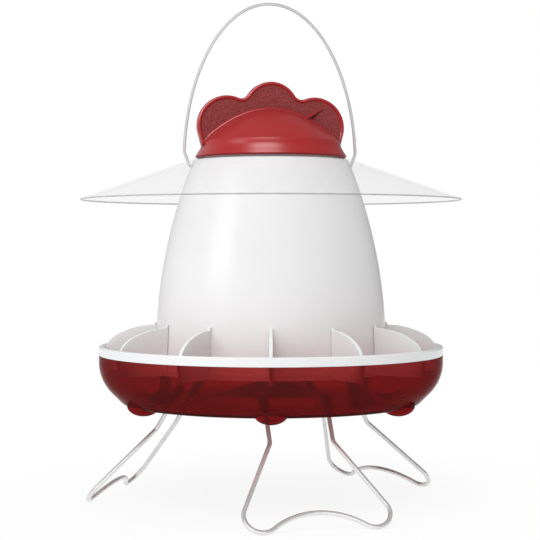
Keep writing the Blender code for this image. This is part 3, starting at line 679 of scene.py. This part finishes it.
def post_mesh():
    """One post with its ledge, gussets and locking slot, at the front."""
    inner = POST_R - POST_WALL
    root = PAN_UNDERSIDE_Z + PAN_WALL / 2
    seat = HOPPER_FOOT_Z - SEAT_GAP
    post = place("post", sector(inner, POST_R, root, HOPPER_FOOT_Z + POST_ABOVE_SEAT,
                                0.0, POST_SPAN))
    ledge = sector(inner + POST_WALL / 2, HOPPER_FOOT_R, seat - POST_LEDGE_HEIGHT, seat,
                   0.0, POST_LEDGE_SPAN)
    back, toe = -POST_R + POST_WALL / 2, -POST_R - GUSSET_REACH
    top = PAN_FLOOR_Z + GUSSET_HEIGHT
    rib = [(back, root), (toe, root), (toe, PAN_FLOOR_Z), (-POST_R, top), (back, top)]
    edge = POST_SPAN / 2 - math.degrees(GUSSET_WALL / POST_R)
    webs = []
    for azimuth in (-edge, edge):
        web = slab(rib, -GUSSET_WALL / 2, GUSSET_WALL / 2)
        web.transform(turned_to(azimuth) @ turned_to(90))
        webs.append(web)
    combine(post, [ledge] + webs, "UNION")
    slot_z = HOPPER_FOOT_Z + LOCK_SLOT_RISE
    slot = sector(inner - POST_WALL, POST_R + POST_WALL, slot_z, slot_z + LOCK_SLOT_HEIGHT,
                  LOCK_SLOT_AZIMUTH, LOCK_SLOT_SPAN)
    combine(post, [slot], "DIFFERENCE")
    mesh = post.data
    bpy.data.objects.remove(post)
    return mesh


def socket_line():
    """Where the front leg's right end runs: its knee, its direction and its upper end."""
    lean = math.radians(SOCKET_LEAN)
    knee = Vector((LEG_KNEE_HALF_GAP, -LEG_KNEE_R, LEG_KNEE_Z))
    upward = Vector((0, math.sin(lean), math.cos(lean)))
    end = knee + upward * ((PAN_FLOOR_Z - knee.z + SOCKET_DEPTH) / upward.z)
    return knee, upward, end


def socket_meshes():
    """The body and the bore of the socket for the front leg's right end."""
    knee, upward, end = socket_line()
    root = knee + upward * SOCKET_START
    bore_r = LEG_WIRE_R + SEAT_GAP
    body = rod(root, end + upward * (SEAT_GAP + SOCKET_CAP), bore_r + SOCKET_WALL)
    bore = rod(root, end + upward * SEAT_GAP, bore_r)
    return trimmed_above(body, PAN_UNDERSIDE_Z + PAN_WALL / 2), bore


def make_pan(materials):
    tongue_r = PAN_R - PAN_WALL + RIM_TONGUE_WALL
    outside = [(0.0, PAN_UNDERSIDE_Z + SPREADER_HEIGHT), (SPREADER_R, PAN_UNDERSIDE_Z)]
    outside += pan_side(0.0)
    outside += [(PAN_R, PAN_RIM_Z - PAN_RIM_CHAMFER), (PAN_R - PAN_RIM_CHAMFER, PAN_RIM_Z)]
    outside += [(tongue_r, PAN_RIM_Z), (tongue_r, RIM_TONGUE_TOP_Z), (0.0, RIM_TONGUE_TOP_Z)]
    pan = place("pan_clear", turned(outside, PAN_STEPS))
    foot_centre = compass(FOOT_PITCH_R, 0.0, FOOT_Z)
    foot = ellipsoid(foot_centre, FOOT_R, FOOT_HALF_HEIGHT)
    dimple = ellipsoid(foot_centre, FOOT_R - PAN_WALL, FOOT_HALF_HEIGHT - PAN_WALL)
    combine(pan, [copies_round(foot, FOOT_COUNT, FOOT_FIRST_AZIMUTH)], "UNION")
    above = RIM_TONGUE_TOP_Z + PAN_WALL
    hollow = [(0.0, PAN_FLOOR_Z + SPREADER_HEIGHT), (SPREADER_R, PAN_FLOOR_Z)]
    hollow += pan_side(PAN_WALL)
    hollow += [(PAN_R - PAN_WALL, above), (0.0, above)]
    combine(pan, [turned(hollow, PAN_STEPS),
                  copies_round(dimple, FOOT_COUNT, FOOT_FIRST_AZIMUTH)], "DIFFERENCE")
    posts = copies_round(post_mesh(), POST_COUNT, POST_FIRST_AZIMUTH)
    bodies, bores = (copies_round(both_sides(mesh), len(LEG_AZIMUTHS), 0.0)
                     for mesh in socket_meshes())
    combine(pan, [posts, bodies], "UNION")
    combine(pan, [bores], "DIFFERENCE")
    smooth(pan)
    dress(pan, "pan", "base", "clear_red_plastic", materials["pan"])


# Hopper

def hopper_radius(z):
    """The bell's outer radius at a height."""
    rise = max(0.0, (z - HOPPER_FOOT_Z) / HOPPER_HEIGHT)
    return HOPPER_FOOT_R - (HOPPER_FOOT_R - SHOULDER_R) * rise ** BELL_POWER


def make_hopper(materials):
    levels = [HOPPER_FOOT_Z + HOPPER_HEIGHT * i / HOPPER_LEVELS for i in range(HOPPER_LEVELS + 1)]
    outside = [(HOPPER_FOOT_R - HOPPER_FOOT_CHAMFER, HOPPER_FOOT_Z),
               (HOPPER_FOOT_R, HOPPER_FOOT_Z + HOPPER_FOOT_CHAMFER)]
    outside += [(hopper_radius(z), z) for z in levels[1:-1]]
    outside += arc((SHOULDER_R - SHOULDER_ROUND, SHOULDER_Z - SHOULDER_ROUND), SHOULDER_ROUND,
                   0, 90, 6)
    outside += [(NECK_R, SHOULDER_Z), (NECK_R, NECK_TOP_Z)]
    bore = NECK_R - HOPPER_WALL
    ceiling = SHOULDER_Z - HOPPER_WALL
    inside = [(hopper_radius(z) - HOPPER_WALL, z) for z in levels if z < ceiling]
    inside += [(hopper_radius(ceiling) - HOPPER_WALL, ceiling)]
    inside += [(bore, ceiling), (bore, NECK_TOP_Z)]
    hopper = place("hopper_bell", turned(outside + inside[::-1]))
    reach = Vector((HOPPER_FOOT_R, 0, 0))
    pivot = Vector((0, 0, BAIL_PIVOT_Z))
    bail_holes = rod(pivot - reach, pivot + reach, BAIL_WIRE_R + SEAT_GAP)
    combine(hopper, [bail_holes], "DIFFERENCE")
    smooth(hopper)
    dress(hopper, "hopper", "base", "milky_plastic", materials["hopper"])


# Feed grid

def fin_outline():
    """One fin seen from the side: foot, outer edge, arched top and the nib at the hopper."""
    rim_inner = PAN_R - GRID_RING_WIDTH
    drop = PAN_CURVE_Z - FIN_BOTTOM_Z
    dish_r = PAN_R - PAN_CURVE_R + math.sqrt(PAN_CURVE_R ** 2 - drop ** 2)
    top_z = GRID_TOP_Z + FIN_RISE
    nib_z = top_z + FIN_NIB_RISE
    top_inner = hopper_radius(top_z) + SIDE_GAP
    run = rim_inner - top_inner
    start = (rim_inner - FIN_NIB_WIDTH / 3, GRID_TOP_Z - FIN_ARCH_DROP)
    arch = bezier((start,
                   (rim_inner - FIN_ARCH_LEAN * run, GRID_TOP_Z + FIN_ARCH_FULLNESS * FIN_RISE),
                   (top_inner + FIN_ARCH_FULLNESS * run, top_z - FIN_ARCH_DIP * FIN_RISE),
                   (top_inner + FIN_NIB_WIDTH, top_z)), 28)
    in_ring = rim_inner + FIN_IN_RING
    outline = [(HOPPER_FOOT_R + SIDE_GAP + FIN_IN_COLLAR, FIN_BOTTOM_Z),
               (dish_r - PAN_WALL - 3 * SIDE_GAP, FIN_BOTTOM_Z),
               (PAN_R - PAN_WALL - SIDE_GAP, GRID_BOTTOM_Z - SIDE_GAP),
               (in_ring, GRID_BOTTOM_Z + SIDE_GAP), (in_ring, start[1])]
    outline += arch
    outline += [(top_inner + FIN_NIB_WIDTH / 2, nib_z), (top_inner, nib_z)]
    return outline + [(hopper_radius(GRID_TOP_Z) + SIDE_GAP, GRID_TOP_Z)]


def ring_profile():
    """The ring with its rounded top and the groove for the dish's tongue."""
    rim_inner = PAN_R - GRID_RING_WIDTH
    groove_inner = PAN_R - PAN_WALL - SEAT_GAP
    groove_outer = PAN_R - PAN_WALL + RIM_TONGUE_WALL + SEAT_GAP
    groove_top = RIM_TONGUE_TOP_Z + SEAT_GAP
    top_z = GRID_TOP_Z - GRID_EDGE_ROUND
    profile = [(groove_outer, GRID_BOTTOM_Z), (PAN_R - GRID_FOOT_CHAMFER, GRID_BOTTOM_Z),
               (PAN_R, GRID_BOTTOM_Z + GRID_FOOT_CHAMFER)]
    profile += arc((PAN_R - GRID_EDGE_ROUND, top_z), GRID_EDGE_ROUND, 0, 90, 8)
    profile += arc((rim_inner + GRID_EDGE_ROUND, top_z), GRID_EDGE_ROUND, 90, 180, 8)
    return profile + [(rim_inner, GRID_BOTTOM_Z), (groove_inner, GRID_BOTTOM_Z),
                      (groove_inner, groove_top), (groove_outer, groove_top)]


def make_grid(materials):
    collar_inner = HOPPER_FOOT_R + SIDE_GAP
    collar_outer = collar_inner + COLLAR_WALL
    collar_top = FIN_BOTTOM_Z + COLLAR_HEIGHT
    collar = [(collar_inner, FIN_BOTTOM_Z), (collar_outer, FIN_BOTTOM_Z),
              (collar_outer, collar_top), (collar_inner, collar_top)]
    fin = mesh_from(soft_slab(fin_outline(), FIN_WALL / 2, FIN_EDGE_ROUND, 3), "fin")
    fin.transform(turned_to(-90))
    bm = bmesh.new()
    for mesh in (turned(ring_profile()), turned(collar),
                 copies_round(fin, FIN_COUNT, FIN_FIRST_AZIMUTH)):
        bm.from_mesh(mesh)
    grid = place("grid_ring_and_fins", mesh_from(bm, "grid"))
    smooth(grid)
    dress(grid, "feed_grid", "base", "white_plastic", materials["grid"])


# Rain shield

def shield_profile():
    """The shield's seat, cone and rounded rim."""
    seat_inner = NECK_R + SIDE_GAP
    top = SHIELD_SEAT_Z + SHIELD_WALL
    slope = math.atan2(SHIELD_DROP, SHIELD_R - SHOULDER_R)
    under = SHIELD_WALL * math.tan(slope / 2)
    down = Vector((math.cos(slope), -math.sin(slope)))
    inward = Vector((-math.sin(slope), -math.cos(slope)))
    edge_r = SHIELD_WALL / 2
    edge_centre = Vector((SHIELD_R, top - SHIELD_DROP)) + inward * edge_r - down * edge_r
    facing = -math.degrees(slope)
    rim = arc(edge_centre, edge_r, facing + 90, facing - 90, 10)
    return ([(seat_inner, SHIELD_SEAT_Z), (seat_inner, top), (SHOULDER_R, top)] + rim
            + [(SHOULDER_R - under, SHIELD_SEAT_Z)])


def slot_mesh():
    """The tall round-ended block that cuts the slot for the bail's right end."""
    half_width = (SHIELD_SLOT_OUTER_X - SHIELD_SLOT_INNER_X) / 2
    middle_x = SHIELD_SLOT_INNER_X + half_width
    straight = SHIELD_SLOT_LENGTH / 2 - half_width
    outline = arc((0.0, straight), half_width, 0, 180, 20)
    outline += arc((0.0, -straight), half_width, 180, 360, 20)
    low_z = SHIELD_SEAT_Z + SHIELD_WALL - SHIELD_DROP
    return prism([(middle_x + x, y, low_z) for x, y in outline], (0, 0, SHIELD_DROP * 2))


def make_shield(materials):
    shield = place("shield_cone", turned(shield_profile(), SHIELD_STEPS))
    combine(shield, [both_sides(slot_mesh())], "DIFFERENCE")
    smooth(shield, 25.0)
    dress(shield, "rain_shield", "base", "clear_plastic",
          materials["shield"], materials["shield_edge"])
    # The rim's faces get the grey edge: painted shade.
    use_second_material(shield, lambda face: face.center.xy.length > SHIELD_R - SHIELD_WALL)


# Lid

def crown_z(radius):
    """The height of the crown's dome at a radius."""
    return CROWN_TOP_Z - CROWN_HEIGHT * (radius / CROWN_R) ** 2


def over_seat(points):
    """(radius, height) points with their heights taken from the lid's seat."""
    return [(r, LID_SEAT_Z + z) for r, z in points]


def shell_profile():
    """The lid without its comb: skirt, waist, crown, spigot and the room for the neck."""
    wide = LID_FLANGE_R - LID_WAIST_R
    foot_pull, foot_z = SKIRT_FOOT_PULL
    waist_pull, waist_z = SKIRT_WAIST_PULL
    skirt = bezier(over_seat(((LID_FLANGE_R, LID_FLANGE_EDGE),
                              (LID_FLANGE_R - foot_pull * wide, foot_z),
                              (LID_WAIST_R + waist_pull * wide, waist_z),
                              (LID_WAIST_R, LID_WAIST_RISE))), 14)
    crown_radii = [CROWN_R * (1 - i / CROWN_LEVELS) for i in range(CROWN_LEVELS + 1)]
    outside = over_seat([(LID_FLANGE_R - LID_WALL, 0.0), *LID_FLANGE_CHAMFER]) + skirt
    outside += over_seat(LID_WAIST_GROOVE) + [(r, crown_z(r)) for r in crown_radii]
    spigot_outer = NECK_R - HOPPER_WALL - SIDE_GAP
    spigot_inner = spigot_outer - SPIGOT_WALL
    spigot_z = NECK_TOP_Z - SPIGOT_DEPTH
    ceiling = NECK_TOP_Z + NECK_TOP_GAP
    neck_room = NECK_R + SIDE_GAP
    inside = [(r, crown_z(r) - LID_WALL) for r in [spigot_inner * i / 20 for i in range(21)]]
    inside += [(spigot_inner, spigot_z), (spigot_outer, spigot_z), (spigot_outer, ceiling),
               (neck_room, ceiling)]
    inside += over_seat([(neck_room, LID_ROOM_RISE), (LID_FLANGE_R - LID_WALL, LID_FLANGE_EDGE)])
    return outside + inside


def comb_outline():
    """The comb as (x, z) points, down to where it sinks into the crown."""
    mid = Vector((0.0, LID_SEAT_Z + MID_LOBE_RISE))
    side = Vector((SIDE_LOBE_X, LID_SEAT_Z + SIDE_LOBE_RISE))
    to_mid, to_side = MID_LOBE_R + LOBE_VALLEY_R, SIDE_LOBE_R + LOBE_VALLEY_R
    along = side - mid
    share = (to_mid ** 2 - to_side ** 2 + along.length_squared) / (2 * along.length)
    off = math.sqrt(to_mid ** 2 - share ** 2)
    ahead = along.normalized()
    valley = mid + ahead * share + Vector((-ahead.y, ahead.x)) * off
    outer = arc(side, SIDE_LOBE_R, SIDE_LOBE_END, heading(side, valley), 40)
    dip = arc(valley, LOBE_VALLEY_R, heading(valley, side), heading(valley, mid), 12)
    top = arc(mid, MID_LOBE_R, heading(mid, valley), 90, 16)
    half = [(COMB_HEEL_X, LID_SEAT_Z + COMB_HEEL_RISE)] + outer + dip[1:-1] + top
    outline = half + [(-x, z) for x, z in half[-2::-1]]
    xs = [-COMB_FOOT_X + 2 * COMB_FOOT_X * i / 24 for i in range(25)]
    return outline + [(x, crown_z(abs(x)) - COMB_IN_CROWN) for x in xs]


def make_shell(materials):
    shell = place("lid_shell", turned(shell_profile()))
    smooth(shell, 25.0)
    dress(shell, "lid", "lid", "red_plastic", materials["lid"], materials["crease"])
    # Faces that look down get the darker matte red: partly a matte underside, partly painted shade
    # under the lid's lip.
    use_second_material(shell, lambda face: face.normal.z < FACING_DOWN)


def make_comb(materials):
    """The comb with its rounded rim and the sunk panel on each face."""
    bm = soft_slab(comb_outline(), COMB_HALF, COMB_EDGE_ROUND, 6)
    bm.normal_update()
    panels = [f for f in bm.faces if abs(f.normal.y) > FACING_Y and f.calc_area() > PANEL_AREA]
    for width, depth in COMB_PANEL_STEPS:
        bmesh.ops.inset_region(bm, faces=panels, thickness=width, depth=depth)
    comb = place("lid_comb", mesh_from(bm, "comb"))
    smooth(comb, 50.0)
    dress(comb, "lid", "lid", "red_plastic", materials["lid"], materials["panel"])
    use_second_material(
        comb, lambda face: abs(face.normal.y) > FACING_Y and face.area > PANEL_AREA)


def make_comb_lines(materials):
    """The two thin upright mould lines in the comb's panels."""
    half_thickness = COMB_HALF - LINE_INSET
    bm = bmesh.new()
    for x in (-LINE_X, LINE_X):
        foot = crown_z(abs(x)) - LINE_IN_CROWN
        left, right = x - LINE_HALF_WIDTH, x + LINE_HALF_WIDTH
        line = [(left, foot), (right, foot), (right, LINE_TOP_Z), (left, LINE_TOP_Z)]
        bm.from_mesh(slab(line, -half_thickness, half_thickness))
    lines = place("lid_comb_lines", mesh_from(bm, "lines"))
    bevel = lines.modifiers.new("soft edges", "BEVEL")
    bevel.width = LINE_ROUND
    bevel.segments = 2
    dress(lines, "lid", "lid", "red_plastic", materials["crease"])


def make_beads(materials):
    """The round beads where the comb's two faces meet the crown."""
    reach = CROWN_R - BEAD_END_GAP
    xs = [reach * (2 * i / 80 - 1) for i in range(81)]
    for side, name in ((-1, "front"), (1, "back")):
        y = side * (COMB_HALF - BEAD_INSET)
        path = [(x, y, crown_z(abs(x)) + BEAD_LIFT) for x in xs]
        bead = bent_wire("lid_bead_" + name, path, BEAD_R)
        dress(bead, "lid", "lid", "red_plastic", materials["lid"])


def make_crease(materials):
    """The small sharp fold on the front of the comb, right of its middle, tapering to a point."""
    panel_y = -COMB_HALF + CREASE_INSET
    corners = ((CREASE_TIP, panel_y), (CREASE_UPPER, panel_y), (CREASE_LOWER, panel_y),
               (CREASE_RIDGE, panel_y - CREASE_RIDGE_HEIGHT),
               (CREASE_ROOT, panel_y + CREASE_ROOT_DEPTH))
    bm = bmesh.new()
    tip, upper, lower, ridge, root = (bm.verts.new((x, y, z)) for (x, z), y in corners)
    for triangle in ((tip, upper, ridge), (tip, ridge, lower), (upper, lower, ridge),
                     (tip, root, upper), (tip, lower, root), (upper, root, lower)):
        bm.faces.new(triangle)
    crease = place("lid_crease", mesh_from(bm, "crease"))
    # The fold's faces get the darker matte red, and its facet that faces down gets the near-black
    # red: painted shade under the fold.
    dress(crease, "lid", "lid", "red_plastic", materials["crease"], materials["shade"])
    use_second_material(crease, lambda face: face.normal.y < 0 and face.normal.z < 0)


# Wires

def make_bail(materials):
    arch_z = BAIL_PIVOT_Z + BAIL_ARCH_LIFT
    foot_angle = math.asin((BAIL_PIVOT_Z + BAIL_KNEE_RISE - arch_z) / BAIL_ARCH_RISE)
    angles = [foot_angle + (math.pi - 2 * foot_angle) * i / BAIL_STEPS
              for i in range(BAIL_STEPS + 1)]
    arch = [Vector((BAIL_HALF_WIDTH * math.cos(a), 0, arch_z + BAIL_ARCH_RISE * math.sin(a)))
            for a in angles]
    hook = Vector((BAIL_HOOK_X, 0, BAIL_PIVOT_Z))
    tip = Vector((BAIL_TIP_X, 0, BAIL_PIVOT_Z))
    end = [tip] + bend(tip, hook, arch[0], BAIL_HOOK_BEND)
    end += bend(hook, arch[0], arch[6], BAIL_KNEE_BEND)
    bail = bent_wire("bail_wire_loop", end + arch[5:-5] + mirrored_back(end), BAIL_WIRE_R)
    dress(bail, "bail", "bail", "bail_wire", materials["bail"])


def leg_half():
    """The front leg's right half, from its knee to the middle of the arch on the floor."""
    splay = math.radians(LEG_SPLAY)
    down = (LEG_KNEE_Z - LEG_WIRE_R) / math.cos(splay)
    knee = Vector((LEG_KNEE_HALF_GAP, 0.0))
    foot = Vector((LEG_FOOT_HALF_GAP, down - LEG_FOOT_BEND))
    side = heading(knee, foot) - math.degrees(math.asin(LEG_FOOT_BEND / (foot - knee).length))
    drop = LEG_FOOT_BEND - LEG_ARCH_RISE
    arch_r = (foot.x ** 2 + drop ** 2 - LEG_FOOT_BEND ** 2) / (2 * (LEG_FOOT_BEND - drop))
    arch_centre = (0.0, foot.y + drop + arch_r)
    inward = heading(foot, arch_centre)
    flat = [tuple(knee)] + arc(foot, LEG_FOOT_BEND, side - 90, inward, 36)
    flat += arc(arch_centre, arch_r, inward - 180, -90, 24)[1:]
    return [Vector((x, -LEG_KNEE_R - v * math.sin(splay), LEG_KNEE_Z - v * math.cos(splay)))
            for x, v in flat]


def make_legs(materials):
    half = leg_half()
    end = socket_line()[2]
    right = [end] + bend(end, half[0], half[1], LEG_KNEE_BEND) + half[1:]
    path = right + mirrored_back(right[:-1])
    for name, azimuth in LEG_AZIMUTHS:
        turn = turned_to(azimuth)
        leg = bent_wire(name + "_wire", [turn @ p for p in path], LEG_WIRE_R)
        dress(leg, name, "base", "leg_wire", materials["leg"])


# Studio

def empty_tree(owner):
    """Give a material or world an empty node tree."""
    owner.use_nodes = True
    owner.node_tree.nodes.clear()
    return owner


def seen_share(owner):
    """1 where a camera, transmission or glossy ray looks, and 0 where light is gathered."""
    path = new_node(owner, "ShaderNodeLightPath")
    direct = combined(owner, "MAXIMUM", path.outputs["Is Camera Ray"],
                      path.outputs["Is Transmission Ray"])
    return combined(owner, "MAXIMUM", direct, path.outputs["Is Glossy Ray"])


def show_mix(owner, share, low, high, kind):
    """Put a mix of two shaders out as the surface."""
    mix = new_node(owner, "ShaderNodeMixShader")
    link(owner, share, mix.inputs[0])
    link(owner, low.outputs[0], mix.inputs[1])
    link(owner, high.outputs[0], mix.inputs[2])
    link(owner, mix.outputs[0], new_node(owner, kind).inputs["Surface"])


def make_floor():
    """A white floor that keeps a soft shadow near the object and fades into the backdrop."""
    bm = bmesh.new()
    bmesh.ops.create_grid(bm, x_segments=1, y_segments=1, size=FLOOR_HALF_SIZE)
    floor = place("studio_floor", mesh_from(bm, "floor"))
    material = empty_tree(bpy.data.materials.new("studio_floor"))
    lit = new_node(material, "ShaderNodeBsdfDiffuse", Color=FLOOR_COLOUR)
    glow = new_node(material, "ShaderNodeEmission", Color=WHITE, Strength=1.0)
    where = new_node(material, "ShaderNodeNewGeometry")
    distance = new_node(material, "ShaderNodeVectorMath", operation="LENGTH")
    link(material, where.outputs["Position"], distance.inputs[0])
    fade = map_range(material, distance.outputs["Value"], *FLOOR_FADE)
    share = combined(material, "MULTIPLY", seen_share(material), fade)
    show_mix(material, share, lit, glow, "ShaderNodeOutputMaterial")
    material.cycles.emission_sampling = "NONE"
    floor.data.materials.append(material)


def make_room():
    """A dark room, pale behind on the left and seen only in reflections, that shapes the gloss."""
    bm = bmesh.new()
    bmesh.ops.create_uvsphere(bm, u_segments=48, v_segments=24, radius=ROOM_R)
    room = place("studio_room", mesh_from(bm, "room"))
    wall = empty_tree(bpy.data.materials.new("studio_room"))
    glow = new_node(wall, "ShaderNodeEmission", Color=WHITE)
    where = new_node(wall, "ShaderNodeNewGeometry")
    towards = new_node(wall, "ShaderNodeVectorMath", operation="DOT_PRODUCT")
    link(wall, where.outputs["Position"], towards.inputs[0])
    towards.inputs[1].default_value = ROOM_PALE_SIDE
    link(wall, map_range(wall, towards.outputs["Value"], *ROOM_FADE), glow.inputs["Strength"])
    out = new_node(wall, "ShaderNodeOutputMaterial")
    link(wall, glow.outputs[0], out.inputs["Surface"])
    wall.cycles.emission_sampling = "NONE"
    room.data.materials.append(wall)
    room.visible_camera = False
    room.visible_diffuse = False
    room.visible_transmission = False
    room.visible_shadow = False


def make_world():
    """White where it is seen, and softer where it lights."""
    world = bpy.data.worlds.new("studio")
    bpy.context.scene.world = empty_tree(world)
    soft = new_node(world, "ShaderNodeBackground", Color=WHITE, Strength=WORLD_LIGHT)
    white = new_node(world, "ShaderNodeBackground", Color=WHITE)
    show_mix(world, seen_share(world), soft, white, "ShaderNodeOutputWorld")


def softbox(name, position, target, size, power, on_matt=True, in_gloss=True):
    """An area lamp that faces a target, with its power in watts."""
    light = bpy.data.lights.new(name, "AREA")
    light.shape = "RECTANGLE"
    light.size, light.size_y = size
    light.energy = power
    lamp = place(name, light)
    aim = Vector(target) - Vector(position)
    lamp.location = position
    lamp.rotation_euler = aim.to_track_quat("-Z", "Y").to_euler()
    lamp.visible_transmission = False
    lamp.visible_diffuse = on_matt
    lamp.visible_glossy = in_gloss
    return lamp


def light_only(lamp, *starts):
    """Limit a lamp to the visible pieces whose names start in one of these ways."""
    lit = bpy.data.collections.new(lamp.name + "_receivers")
    for thing in bpy.data.objects:
        if thing.name.startswith(starts):
            lit.objects.link(thing)
    lamp.light_linking.receiver_collection = lit


def make_camera():
    """The photograph's view: level, from a little left of the front."""
    camera = bpy.data.cameras.new("camera")
    camera.sensor_width = 36.0
    camera.lens = CAMERA_LENS
    camera.shift_x, camera.shift_y = (pixels / PHOTO_PIXELS for pixels in CAMERA_SHIFT_PIXELS)
    eye = place("camera", camera)
    eye.location = CAMERA_PLACE
    eye.rotation_euler = (math.radians(90), 0, math.radians(CAMERA_AZIMUTH))
    bpy.context.scene.camera = eye


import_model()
bpy.context.scene.view_settings.view_transform = "Standard"

make_camera()
make_world()
make_floor()
make_room()

key = softbox("key", (-2.6, -0.9, 1.5), (0, 0, 0.25), (1.4, 1.4), 18.0)
softbox("front", (-1.0, -2.0, 2.5), (0, 0, 0.3), (2.0, 2.2), 50.0, in_gloss=False)
softbox("fill", (2.6, 1.6, 1.8), (0, 0, 0.3), (1.6, 1.6), 12.0, in_gloss=False)
sheen = softbox("sheen", (-0.77, -1.39, 2.87), (0, 0, 0.33), (1.7, 1.4), 52.0, on_matt=False)
comb_light = softbox("comb light", (-1.9, -0.4, 1.9), (0, 0, 0.38), (1.6, 1.6), 75.0,
                     on_matt=False)
screen = softbox("screen", (-1.6, -3.0, 1.0), (0, 0, 0.05), (7.0, 4.5), 95.0, on_matt=False)

finishes = make_materials()
make_pan(finishes)
make_grid(finishes)
make_hopper(finishes)
make_shield(finishes)
make_shell(finishes)
make_comb(finishes)
make_comb_lines(finishes)
make_beads(finishes)
make_crease(finishes)
make_bail(finishes)
make_legs(finishes)

light_only(key, "pan_", "grid_", "hopper_", "shield_", "lid_", "studio_")
light_only(sheen, "lid_")
light_only(comb_light, "lid_comb", "lid_bead")
light_only(screen, "leg_", "bail_")
